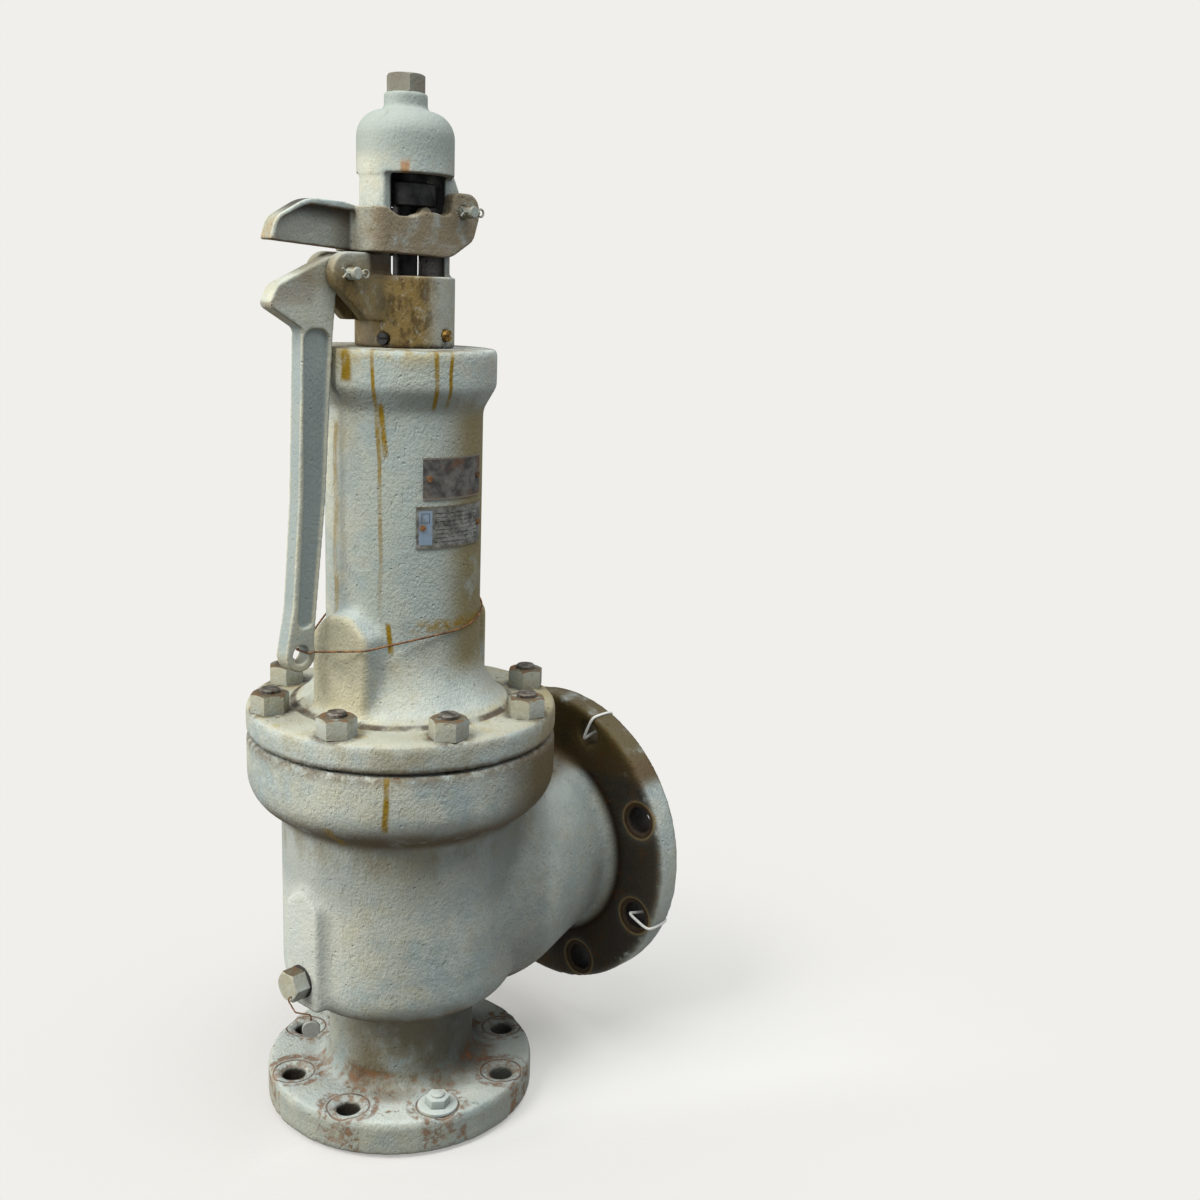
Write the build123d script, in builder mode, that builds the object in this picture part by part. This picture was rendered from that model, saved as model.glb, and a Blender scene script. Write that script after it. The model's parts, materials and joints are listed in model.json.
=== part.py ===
"""Flanged spring relief valve with a plain open lever cap, modelled as it comes apart on a bench.

Millimetres. The origin is the centre of the inlet face, +Z is the valve axis and +X points out of the
outlet. The lever gear works in the XZ plane, with its tips towards -X.
"""

from build123d import *

import os
from math import cos, radians, sin, sqrt, tan

os.makedirs("parts", exist_ok=True)

# Clearances
running_gap = 0.05
thread_gap = 0.06
loose_gap = 0.3
stud_hole_gap = 1.0

# Inlet flange, 4 inch class 150
flange_bolt_count = 8
inlet_flange_radius = 114.3
inlet_flange_thickness = 30.0
inlet_bolt_circle_radius = 95.25
inlet_bolt_hole_radius = 9.525
inlet_spot_face_radius = 18.5
inlet_raised_face_radius = 78.6
raised_face_height = 1.6
spot_face_depth = 1.0

# Outlet flange, 6 inch class 150
outlet_flange_radius = 139.7
outlet_flange_thickness = 29.3
outlet_bolt_circle_radius = 120.65
outlet_bolt_hole_radius = 11.1
outlet_spot_face_radius = 20.0
outlet_raised_face_radius = 107.95
outlet_bore_radius = 76.2
outlet_face_distance = 209.6
outlet_height = 181.0

# Body shell
neck_radius = 62.0
bowl_radius = 100.0
bowl_floor_height = 100.0
bowl_corner = 30.0
shell_wall = 11.0
body_flange_radius = 127.0
body_flange_side = 279.0
body_flange_curl = 15.0
body_flange_foot = body_flange_side - body_flange_curl
body_flange_corner = 34.0
body_top = 329.5
neck_foot_rounding = 13.0
outlet_neck_radius = 85.0
outlet_root_radius = 96.0
outlet_belly_radius = 106.0
outlet_belly_x = 85.0
outlet_neck_x = 165.0
outlet_neck_rounding = 12.0
outlet_passage_start = 66.0
outlet_passage_radius = 90.0

# Nozzle and adjusting ring
nozzle_flange_thickness = 12.0
nozzle_shank_radius = 53.0
nozzle_shank_top = 118.0
nozzle_ring_thread_radius = 46.0
nozzle_inlet_bore_radius = 46.0
throat_radius = 36.2
nozzle_taper_bottom = 25.0
nozzle_taper_top = 105.0
seat_height = 146.0
seat_width = 4.0
ring_radius = 58.0
ring_thickness = 17.0
ring_notch_depth = 4.5
ring_notch_width = 5.0
ring_notch_height = 12.5
ring_bevel = 4.0
ring_notch_count = 16

# Ring pin and its boss on the side away from the outlet
ring_pin_height = 136.0
ring_pin_radius = 4.0
ring_pin_thread_radius = 9.0
ring_pin_tip_width = 4.0
ring_pin_head_across_flats = 23.0
ring_pin_head_length = 13.0
ring_pin_gasket_thickness = 1.5
ring_pin_gasket_radius = 13.6
lock_wire_hole_offset = 6.0
lock_wire_hole_depth = 6.0
ring_boss_reach = 106.0
ring_boss_width = 42.0
ring_boss_bottom = 113.0
ring_boss_shoulder = 201.0
ring_boss_peak = 217.0

# Guide and gaskets, clamped between body and bonnet
body_joint_gap = 2.0
guide_flange_radius = 95.0
guide_flange_thickness = 10.5
guide_shoulder_radius = 86.0
guide_tube_radius = 42.0
guide_bore_radius = 32.0
guide_tube_length = 110.0
guide_spigot_depth = 10.0
guide_web_drop = 26.0
gasket_thickness = 1.5

# Disc and disc holder
disc_radius = 44.0
disc_thickness = 9.0
holder_cup_radius = 55.0
holder_cup_depth = 8.0
holder_cup_top = 165.0
holder_heel_width = 8.0
holder_shoulder_height = 176.0
holder_stem_top = 262.0
spindle_pocket_depth = 88.0
retainer_thickness = 3.0
retainer_depth = 1.5

# Bonnet
bonnet_flange_radius = 127.0
bonnet_flange_thickness = 23.0
bonnet_radius = 62.5
bonnet_foot_radius = 88.0
bonnet_foot_step = 3.5
bonnet_heel_height = 378.0
bonnet_heel_rounding = 60.0
bonnet_bore_radius = 52.0
bonnet_bore_bottom = 385.0
bonnet_mouth_radius = 78.0
bonnet_mouth_height = 13.0
bonnet_top = 642.0
bonnet_top_thickness = 42.0
spigot_height = 14.0
collar_radius = 72.9
collar_height = 29.0
collar_bevel_height = 18.0
pad_angle = 190.0
pad_half_width = 27.0
pad_reach = 80.0
pad_top = 438.0
pad_crown = 18.0
pad_rounding = 12.0
pad_depth = 40.0
pad_draft = 4.0

# Bonnet studs, 5/8 inch, with heavy nuts
stud_circle_radius = 110.4
stud_radius = 7.94
stud_depth = 32.0
stud_end = 3.5
nut_across_flats = 27.0
nut_height = 15.5

# Spindle, spring and adjusting screw
spindle_radius = 9.5
spindle_top = 786.0
spindle_collar_radius = 15.0
spindle_collar_height = 8.0
spring_mean_radius = 36.0
spring_wire_radius = 7.0
spring_bottom = 404.0
spring_top = 568.0
spring_turns = 6.5
washer_radius = 45.0
washer_thickness = 12.0
washer_hub_radius = 26.0
washer_hub_height = 9.0
adjusting_screw_radius = 19.0
adjusting_screw_top = 691.0
adjusting_head_across_flats = 30.0
adjusting_head_height = 17.0
adjusting_locknut_across_flats = 50.0
adjusting_locknut_height = 16.0

# Release nut and its locknut
release_nut_height = 748.0
release_nut_radius = 23.0
release_nut_thickness = 17.0
release_locknut_across_flats = 30.0
release_locknut_thickness = 9.0

# Cap
cap_base_radius = 38.8
cap_window_radius = 36.7
cap_dome_radius = 37.3
cap_inner_radius = 29.5
window_bottom = 696.0
window_top = 770.3
window_corner = 4.0
window_corner_x = 33.0
column_half_width = 14.8
dome_top = 818.0
dome_fall = 3.5
dome_corner = 20.0
dome_wall = 8.0
cap_neck_radius = 16.5
cap_neck_top = 830.5
cap_bolt_across_flats = 26.5
cap_bolt_head_height = 13.5
cap_bolt_radius = 8.0
cap_screw_radius = 4.5
cap_screw_length = 12.5
cap_screw_slot_width = 1.4
cap_screw_slot_depth = 1.8
front_screw_angle = -77.0
front_screw_height = 652.0
side_screw_angle = -155.0
side_screw_height = 649.0

# Lifting lever: a fork that passes outside the cap's two columns
fulcrum_x = 36.5
fulcrum_z = 745.7
fulcrum_pin_radius = 4.8
fulcrum_ear_radius = 12.5
arm_thickness = 11.0
arm_gap = 0.5
arm_underside = 710.5
arm_dip_height = 739.3
arm_top = 745.2
arm_boss_top = 760.0
arm_boss_end = 53.8
fork_front = 53.5
crotch_gap = 3.5
fork_corner = 13.0
lever_bar_half_thickness = 7.0
lever_web_half_thickness = 3.5
finger_tip = 129.3
finger_tip_height = 717.0
finger_flange = 4.3
lug_width = 6.0
lug_x = 2.5
lug_radius = 6.0
lug_gap = 0.5

# Drop lever and the two ears that carry it
drop_pin_x = -67.0
drop_pin_z = 696.0
drop_pin_radius = 4.8
drop_ear_radius = 15.6
drop_ear_thickness = 9.5
drop_ear_gap = 0.5
drop_ear_end = 47.0
drop_ear_slope = 40.6
drop_ear_foot = 662.0
drop_head_radius = 13.5
drop_eye_x = -107.2
drop_eye_z = 411.0
drop_eye_radius = 7.3
drop_eye_rim_radius = 13.5
drop_groove_depth = 3.0

# Lever pins, each with a head on the far side and a split pin on the near side
pin_head_radius = 8.0
pin_head_thickness = 5.0
fulcrum_pin_end = 39.0
drop_pin_end = 26.0
split_pin_radius = 1.2
split_pin_length = 17.0
split_pin_eye_radius = 2.8
split_pin_inset = 4.0

# Plates on the bonnet
plate_thickness = 0.9
plate_gap = 0.1
plate_rivet_radius = 2.3
plate_rivet_height = 1.4
plate_rivet_shank_radius = 1.2
plate_rivet_shank_length = 6.0
upper_plate_start = -117.6
upper_plate_end = -63.0
upper_plate_bottom = 529.6
upper_plate_top = 561.7
lower_plate_start = -122.3
lower_plate_end = -61.0
lower_plate_bottom = 491.7
lower_plate_top = 524.3
plate_rivet_margin = 2.6

# Tie wire and ring pin seal
tie_wire_radius = 0.8
tie_wire_gap = 0.35
pad_corner_bend = 4.0
wrap_bend = 60.0
wrap_start = -108.0
wrap_step = 23.0
wrap_count = 11
wrap_low = 423.0
wrap_high = 442.0
seal_wire_radius = 0.6
seal_radius = 7.2
seal_thickness = 4.0
seal_x = -112.0
seal_y = -20.0
seal_z = 104.0
seal_facing = -127.0

# Heights that follow from the sizes above
inlet_flange_top = raised_face_height + inlet_flange_thickness
bonnet_bottom = body_top + body_joint_gap
bonnet_flange_top = bonnet_bottom + bonnet_flange_thickness
guide_top = bonnet_bottom - gasket_thickness
guide_flange_bottom = guide_top - guide_flange_thickness
guide_shoulder = guide_flange_bottom - gasket_thickness
arm_inner = column_half_width + arm_gap
arm_outer = arm_inner + arm_thickness
drop_ear_inner = lever_bar_half_thickness + drop_ear_gap
drop_ear_outer = drop_ear_inner + drop_ear_thickness
spring_washer_bottom = spring_bottom - washer_thickness
spring_washer_top = spring_top + washer_thickness
holder_pocket_floor = holder_stem_top - spindle_pocket_depth
outlet_axis = Axis((0, 0, outlet_height), (1, 0, 0))


def at_angle(radius, angle, height):
    """A point at a radius and an angle round the valve axis."""
    return (radius * cos(radians(angle)), radius * sin(radians(angle)), height)


def radial_plane(angle):
    """The upright half plane at an angle: x is the radius and y the height."""
    return Plane(
        origin=(0, 0, 0),
        x_dir=(cos(radians(angle)), sin(radians(angle)), 0),
        z_dir=(sin(radians(angle)), -cos(radians(angle)), 0),
    )


def facing_plane(angle, reach, height=0.0):
    """A plane that faces outward at an angle round the valve axis: x runs round, y is up."""
    return Plane(
        origin=at_angle(reach, angle, height),
        x_dir=(-sin(radians(angle)), cos(radians(angle)), 0),
        z_dir=(cos(radians(angle)), sin(radians(angle)), 0),
    )


def outline(corners):
    """A closed face from (x, y, corner rounding) corners."""
    with BuildSketch() as drawn:
        with BuildLine():
            Polyline(*[(x, y) for x, y, _ in corners], close=True)
        make_face()
        for x, y, rounding in corners:
            if rounding > 0:
                fillet(drawn.vertices().sort_by_distance((x, y, 0))[0], rounding)
    return drawn.sketch


def turned(corners, mode=Mode.ADD):
    """Turns (radius, height, corner rounding) corners round the valve axis."""
    revolve(Plane.XZ * outline(corners), axis=Axis.Z, mode=mode)


def ring_sector(inner, outer, bottom, top, start, end):
    """A band of a tube between two angles round the valve axis."""
    with BuildPart() as band:
        with BuildSketch(radial_plane(start)):
            with BuildLine():
                Polyline((inner, bottom), (outer, bottom), (outer, top), (inner, top), close=True)
            make_face()
        revolve(axis=Axis.Z, revolution_arc=end - start)
    return band.part


def hexagon_bar(across_flats, length, bore=0.0):
    """A hexagon bar or nut that stands on the XY plane, with its top corners turned off."""
    corner = across_flats / sqrt(3)
    bevel = corner - across_flats / 2 * 0.96
    with BuildPart() as bar:
        with BuildSketch():
            RegularPolygon(across_flats / 2, 6, major_radius=False)
        extrude(amount=length)
        turned(
            [
                (0, 0, 0),
                (corner + 1, 0, 0),
                (corner + 1, length - (bevel + 1) / sqrt(3), 0),
                (corner - bevel, length, 0),
                (0, length, 0),
            ],
            Mode.INTERSECT,
        )
        if bore > 0:
            with BuildSketch():
                Circle(bore)
            extrude(amount=length, mode=Mode.SUBTRACT)
    return bar.part


def slab(face, front, back, mode=Mode.ADD):
    """Extrudes an (x, z) face from y = front to y = back."""
    extrude(Plane.XZ.offset(-back) * face, amount=back - front, mode=mode)


def both_sides(face, inner, outer, mode=Mode.ADD):
    """Two equal slabs of an (x, z) face, one on each side of the lever plane."""
    slab(face, -outer, -inner, mode)
    slab(face, inner, outer, mode)


def drill_across(x, z, radius, front, back):
    """A hole along Y through the piece being built."""
    with BuildSketch() as hole:
        with Locations((x, z)):
            Circle(radius)
    slab(hole.sketch, front, back, Mode.SUBTRACT)


def wire(points, radius, bends):
    """A round wire along straight runs, joined by bends that are cut down where a run is short."""
    vectors = [Vector(*point) for point in points]
    radii = []
    for bend, before, corner, after in zip(bends, vectors, vectors[1:], vectors[2:]):
        turn = (corner - before).get_angle(after - corner)
        shorter = min((corner - before).length, (after - corner).length)
        radii.append(min(bend, 0.45 * shorter / tan(radians(turn / 2))))
    with BuildPart() as strand:
        with BuildLine() as route:
            FilletPolyline(*points, radius=radii)
        path = route.line
        with BuildSketch(Plane(origin=path @ 0, z_dir=path % 0)):
            Circle(radius)
        sweep(path=path)
    return strand.part


def save(part, label):
    """Names one finished piece and writes it."""
    part.label = label
    export_step(part, "parts/" + label + ".step")


# Valve body
outlet_face_plane = Plane(
    origin=(outlet_face_distance, 0, outlet_height), x_dir=(0, 1, 0), z_dir=(1, 0, 0)
)
outlet_flange_back = outlet_face_distance - outlet_flange_thickness
bowl_inner_radius = bowl_radius - shell_wall
bowl_inner_floor = bowl_floor_height + shell_wall
guide_recess_radius = guide_flange_radius + loose_gap


def flange_holes(face_plane, circle_radius, hole_radius, depth):
    """Cuts the eight holes of a flange, straddling the centre lines."""
    with BuildSketch(face_plane) as holes:
        with PolarLocations(circle_radius, flange_bolt_count, start_angle=180 / flange_bolt_count):
            Circle(hole_radius)
    extrude(holes.sketch, amount=-depth, mode=Mode.SUBTRACT)


with BuildPart() as valve_body:
    turned(
        [
            (0, raised_face_height, 0),
            (inlet_flange_radius, raised_face_height, 2),
            (inlet_flange_radius, inlet_flange_top, 3),
            (neck_radius, inlet_flange_top, neck_foot_rounding),
            (neck_radius, bowl_floor_height, 8),
            (bowl_radius, bowl_floor_height, bowl_corner),
            (bowl_radius, body_flange_foot, 8),
            (body_flange_radius, body_flange_side, body_flange_corner),
            (body_flange_radius, body_top, 2.5),
            (0, body_top, 0),
        ]
    )
    branch = outline(
        [
            (0, outlet_height, 0),
            (0, outlet_height + outlet_root_radius, 0),
            (outlet_belly_x, outlet_height + outlet_belly_radius, 90),
            (outlet_neck_x, outlet_height + outlet_neck_radius, 25),
            (outlet_flange_back, outlet_height + outlet_neck_radius, outlet_neck_rounding),
            (outlet_flange_back, outlet_height + outlet_flange_radius, 3),
            (outlet_face_distance - raised_face_height, outlet_height + outlet_flange_radius, 2),
            (outlet_face_distance - raised_face_height, outlet_height + outlet_raised_face_radius, 0),
            (outlet_face_distance, outlet_height + outlet_raised_face_radius, 0),
            (outlet_face_distance, outlet_height, 0),
        ]
    )
    revolve(Plane.XZ * branch, axis=outlet_axis)
    ring_boss = outline(
        [
            (-ring_boss_width / 2, ring_boss_bottom, 3),
            (ring_boss_width / 2, ring_boss_bottom, 3),
            (ring_boss_width / 2, ring_boss_shoulder, 14),
            (0, ring_boss_peak, 12),
            (-ring_boss_width / 2, ring_boss_shoulder, 14),
        ]
    )
    extrude(
        facing_plane(180, ring_boss_reach) * ring_boss, amount=bowl_inner_radius - 2 - ring_boss_reach
    )
    turned(
        [
            (0, bowl_inner_floor, 0),
            (bowl_inner_radius, bowl_inner_floor, bowl_corner - shell_wall),
            (bowl_inner_radius, body_flange_foot, 0),
            (guide_shoulder_radius, body_flange_foot + 4, 0),
            (guide_shoulder_radius, guide_shoulder, 0),
            (guide_recess_radius, guide_shoulder, 0),
            (guide_recess_radius, body_top, 0),
            (0, body_top, 0),
        ],
        Mode.SUBTRACT,
    )
    turned(
        [
            (0, raised_face_height, 0),
            (inlet_raised_face_radius + loose_gap, raised_face_height, 0),
            (inlet_raised_face_radius + loose_gap, nozzle_flange_thickness, 0),
            (nozzle_shank_radius + thread_gap, nozzle_flange_thickness, 0),
            (nozzle_shank_radius + thread_gap, bowl_inner_floor + 1, 0),
            (0, bowl_inner_floor + 1, 0),
        ],
        Mode.SUBTRACT,
    )
    passage = outline(
        [
            (outlet_passage_start, outlet_height, 0),
            (outlet_passage_start, outlet_height + outlet_bore_radius + 8, 0),
            (outlet_belly_x, outlet_height + outlet_passage_radius, 10),
            (outlet_belly_x + 34, outlet_height + outlet_passage_radius - 4, 30),
            (outlet_neck_x - 14, outlet_height + outlet_bore_radius, 0),
            (outlet_face_distance, outlet_height + outlet_bore_radius, 0),
            (outlet_face_distance, outlet_height, 0),
        ]
    )
    revolve(Plane.XZ * passage, axis=outlet_axis, mode=Mode.SUBTRACT)
    outlet_back_plane = outlet_face_plane.offset(spot_face_depth - outlet_flange_thickness)
    flange_holes(
        outlet_face_plane, outlet_bolt_circle_radius, outlet_bolt_hole_radius, outlet_flange_thickness
    )
    flange_holes(
        outlet_back_plane, outlet_bolt_circle_radius, outlet_spot_face_radius, spot_face_depth + 6
    )
    inlet_top_plane = Plane.XY.offset(inlet_flange_top)
    flange_holes(
        inlet_top_plane, inlet_bolt_circle_radius, inlet_bolt_hole_radius, inlet_flange_thickness
    )
    flange_holes(
        inlet_top_plane.offset(6), inlet_bolt_circle_radius, inlet_spot_face_radius, spot_face_depth + 6
    )
    flange_holes(Plane.XY.offset(body_top), stud_circle_radius, stud_radius + thread_gap, stud_depth + 2)
    with BuildSketch(facing_plane(180, ring_boss_reach, ring_pin_height)):
        Circle(ring_pin_thread_radius + thread_gap)
    extrude(amount=bowl_inner_radius - 4 - ring_boss_reach, mode=Mode.SUBTRACT)
save(valve_body.part, "valve_body")

# Nozzle, screwed up into the neck
with BuildPart() as nozzle:
    turned(
        [
            (nozzle_inlet_bore_radius, 0, 1),
            (inlet_raised_face_radius, 0, 0.5),
            (inlet_raised_face_radius, nozzle_flange_thickness, 0),
            (nozzle_shank_radius, nozzle_flange_thickness, 0),
            (nozzle_shank_radius, nozzle_shank_top, 1),
            (nozzle_ring_thread_radius, nozzle_shank_top, 0),
            (nozzle_ring_thread_radius, seat_height - 2, 0),
            (throat_radius + seat_width, seat_height - 2, 0),
            (throat_radius + seat_width, seat_height, 0),
            (throat_radius, seat_height, 0),
            (throat_radius, nozzle_taper_top, 20),
            (nozzle_inlet_bore_radius, nozzle_taper_bottom, 20),
        ]
    )
save(nozzle.part, "nozzle")

# Adjusting ring, notched for the ring pin
ring_top = seat_height - 2
ring_bottom = ring_top - ring_thickness
with BuildPart() as adjusting_ring:
    turned(
        [
            (nozzle_ring_thread_radius + thread_gap, ring_bottom, 0),
            (ring_radius, ring_bottom, 0.8),
            (ring_radius, ring_top - ring_bevel, 0),
            (ring_radius - ring_bevel, ring_top, 0),
            (nozzle_ring_thread_radius + thread_gap, ring_top, 0),
        ]
    )
    with BuildSketch(Plane.XY.offset(ring_bottom)):
        with PolarLocations(ring_radius, ring_notch_count):
            Rectangle(2 * ring_notch_depth, ring_notch_width)
    extrude(amount=ring_notch_height, mode=Mode.SUBTRACT)
save(adjusting_ring.part, "adjusting_ring")

# Ring pin with its gasket, its lock wire and the seal
ring_pin_head_seat = ring_boss_reach + ring_pin_gasket_thickness
ring_pin_face = ring_pin_head_seat + ring_pin_head_length
ring_pin_axis = Axis((0, 0, ring_pin_height), (1, 0, 0))
with BuildPart() as ring_pin:
    shank = outline(
        [
            (loose_gap + ring_notch_depth - ring_radius - 2 * loose_gap, ring_pin_height, 0),
            (
                loose_gap + ring_notch_depth - ring_radius - 2 * loose_gap,
                ring_pin_height + ring_pin_tip_width / 2,
                0.5,
            ),
            (-ring_radius - loose_gap, ring_pin_height + ring_pin_tip_width / 2, 0),
            (-ring_radius - loose_gap, ring_pin_height + ring_pin_radius, 0),
            (-bowl_inner_radius, ring_pin_height + ring_pin_radius, 0),
            (-bowl_inner_radius, ring_pin_height + ring_pin_thread_radius, 0),
            (-ring_pin_head_seat, ring_pin_height + ring_pin_thread_radius, 0),
            (-ring_pin_head_seat, ring_pin_height, 0),
        ]
    )
    revolve(Plane.XZ * shank, axis=ring_pin_axis)
    add(
        facing_plane(180, ring_pin_head_seat, ring_pin_height).location
        * hexagon_bar(ring_pin_head_across_flats, ring_pin_head_length)
    )
    with BuildSketch(facing_plane(180, ring_pin_face, ring_pin_height)):
        with Locations((lock_wire_hole_offset, -lock_wire_hole_offset)):
            Circle(seal_wire_radius + running_gap)
    extrude(amount=-lock_wire_hole_depth, mode=Mode.SUBTRACT)
save(ring_pin.part, "ring_pin")

with BuildPart() as ring_pin_gasket:
    with BuildSketch(facing_plane(180, ring_boss_reach, ring_pin_height)):
        Circle(ring_pin_gasket_radius)
        Circle(ring_pin_thread_radius + loose_gap, mode=Mode.SUBTRACT)
    extrude(amount=ring_pin_gasket_thickness)
save(ring_pin_gasket.part, "ring_pin_gasket")

seal_plane = Plane(
    origin=(seal_x, seal_y, seal_z),
    x_dir=(-sin(radians(seal_facing)), cos(radians(seal_facing)), 0),
    z_dir=(cos(radians(seal_facing)), sin(radians(seal_facing)), 0),
)
with BuildPart() as ring_pin_seal:
    with BuildSketch(seal_plane.offset(-seal_thickness / 2)):
        Circle(seal_radius)
    extrude(amount=seal_thickness)
    chamfer(ring_pin_seal.edges(), 0.6)
    with BuildSketch(Plane.XY.offset(seal_z)):
        with Locations((seal_x, seal_y)):
            Circle(seal_wire_radius + running_gap)
    extrude(amount=seal_radius + 1, mode=Mode.SUBTRACT)
save(ring_pin_seal.part, "ring_pin_seal")

lock_wire_height = ring_pin_height - lock_wire_hole_offset
seal_wire = wire(
    [
        (lock_wire_hole_depth - 1 - ring_pin_face, -lock_wire_hole_offset, lock_wire_height),
        (-ring_pin_face - 4, -lock_wire_hole_offset, lock_wire_height),
        (-ring_pin_face - 3, seal_y + 5, seal_z + 17),
        (seal_x, seal_y, seal_z + seal_radius + 5),
        (seal_x, seal_y, seal_z + 1),
    ],
    seal_wire_radius,
    [2.5, 2.5, 2.5],
)
save(seal_wire, "ring_pin_seal_wire")

# Guide between its two gaskets
guide_spigot_radius = guide_shoulder_radius - loose_gap
with BuildPart() as guide:
    turned(
        [
            (guide_bore_radius, guide_flange_bottom - guide_tube_length, 0),
            (guide_tube_radius, guide_flange_bottom - guide_tube_length, 1),
            (guide_tube_radius, guide_flange_bottom - guide_web_drop, 12),
            (guide_spigot_radius, guide_flange_bottom - guide_spigot_depth, 0),
            (guide_spigot_radius, guide_flange_bottom, 0),
            (guide_flange_radius, guide_flange_bottom, 0),
            (guide_flange_radius, guide_top, 1),
            (guide_bore_radius, guide_top, 0),
        ]
    )
save(guide.part, "guide")

with BuildPart() as guide_gasket:
    with BuildSketch(Plane.XY.offset(guide_shoulder)):
        Circle(guide_flange_radius)
        Circle(guide_shoulder_radius, mode=Mode.SUBTRACT)
    extrude(amount=gasket_thickness)
save(guide_gasket.part, "guide_gasket")

with BuildPart() as bonnet_gasket:
    with BuildSketch(Plane.XY.offset(guide_top)):
        Circle(guide_flange_radius)
        Circle(bonnet_mouth_radius + loose_gap, mode=Mode.SUBTRACT)
    extrude(amount=gasket_thickness)
save(bonnet_gasket.part, "bonnet_gasket")

# Disc, the ring that keeps it in, and the disc holder
disc_top = seat_height + disc_thickness
retainer_bottom = disc_top - disc_thickness / 2 - retainer_thickness / 2
retainer_top = retainer_bottom + retainer_thickness
with BuildPart() as disc:
    turned(
        [
            (0, seat_height, 0),
            (disc_radius, seat_height, 0.5),
            (disc_radius, retainer_bottom - running_gap, 0),
            (disc_radius - retainer_depth, retainer_bottom - running_gap, 0),
            (disc_radius - retainer_depth, retainer_top + running_gap, 0),
            (disc_radius, retainer_top + running_gap, 0),
            (disc_radius, disc_top, 0),
            (0, disc_top, 0),
        ]
    )
save(disc.part, "disc")

with BuildPart() as disc_retainer:
    turned(
        [
            (disc_radius - retainer_depth + running_gap, retainer_bottom, 0),
            (disc_radius + retainer_depth, retainer_bottom, 0),
            (disc_radius + retainer_depth, retainer_top, 0),
            (disc_radius - retainer_depth + running_gap, retainer_top, 0),
        ]
    )
save(disc_retainer.part, "disc_retainer")

holder_rim = disc_top - holder_cup_depth
holder_stem_radius = guide_bore_radius - running_gap
spindle_bore_radius = spindle_radius + loose_gap
with BuildPart() as disc_holder:
    turned(
        [
            (0, disc_top, 0),
            (disc_radius + loose_gap, disc_top, 0),
            (disc_radius + loose_gap, retainer_top + running_gap, 0),
            (disc_radius + retainer_depth + loose_gap, retainer_top + running_gap, 0),
            (disc_radius + retainer_depth + loose_gap, retainer_bottom - running_gap, 0),
            (disc_radius + loose_gap, retainer_bottom - running_gap, 0),
            (disc_radius + loose_gap, holder_rim, 0),
            (holder_cup_radius, holder_rim, 1),
            (holder_cup_radius, holder_cup_top, 4),
            (holder_stem_radius + holder_heel_width, holder_shoulder_height, 5),
            (holder_stem_radius, holder_shoulder_height, 0),
            (holder_stem_radius, holder_stem_top, 1.5),
            (spindle_bore_radius, holder_stem_top, 0),
            (spindle_bore_radius, holder_pocket_floor, 0),
            (0, holder_pocket_floor, 0),
        ]
    )
save(disc_holder.part, "disc_holder")

# Bonnet with its collar, its two pads and the spigot that the cap fits over
bonnet_cavity_top = bonnet_top - bonnet_top_thickness
spigot_top = bonnet_top + spigot_height
spigot_radius = cap_inner_radius - loose_gap
collar_foot = bonnet_top - collar_height
plates = (
    ("upper_plate", upper_plate_start, upper_plate_end, upper_plate_bottom, upper_plate_top),
    ("lower_plate", lower_plate_start, lower_plate_end, lower_plate_bottom, lower_plate_top),
)
rivet_places = []
for label, start, end, bottom, top in plates:
    margin = (plate_rivet_margin + plate_rivet_radius) / bonnet_radius / radians(1)
    rivet_places.append((start + margin, (bottom + top) / 2))
    rivet_places.append((end - margin, (bottom + top) / 2))


def rivet_holes(inner, outer):
    """Drills the holes of the plate rivets between two radii."""
    for angle, height in rivet_places:
        with BuildSketch(facing_plane(angle, inner, height)) as hole:
            Circle(plate_rivet_shank_radius + running_gap)
        extrude(hole.sketch, amount=outer - inner, mode=Mode.SUBTRACT)


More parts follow.
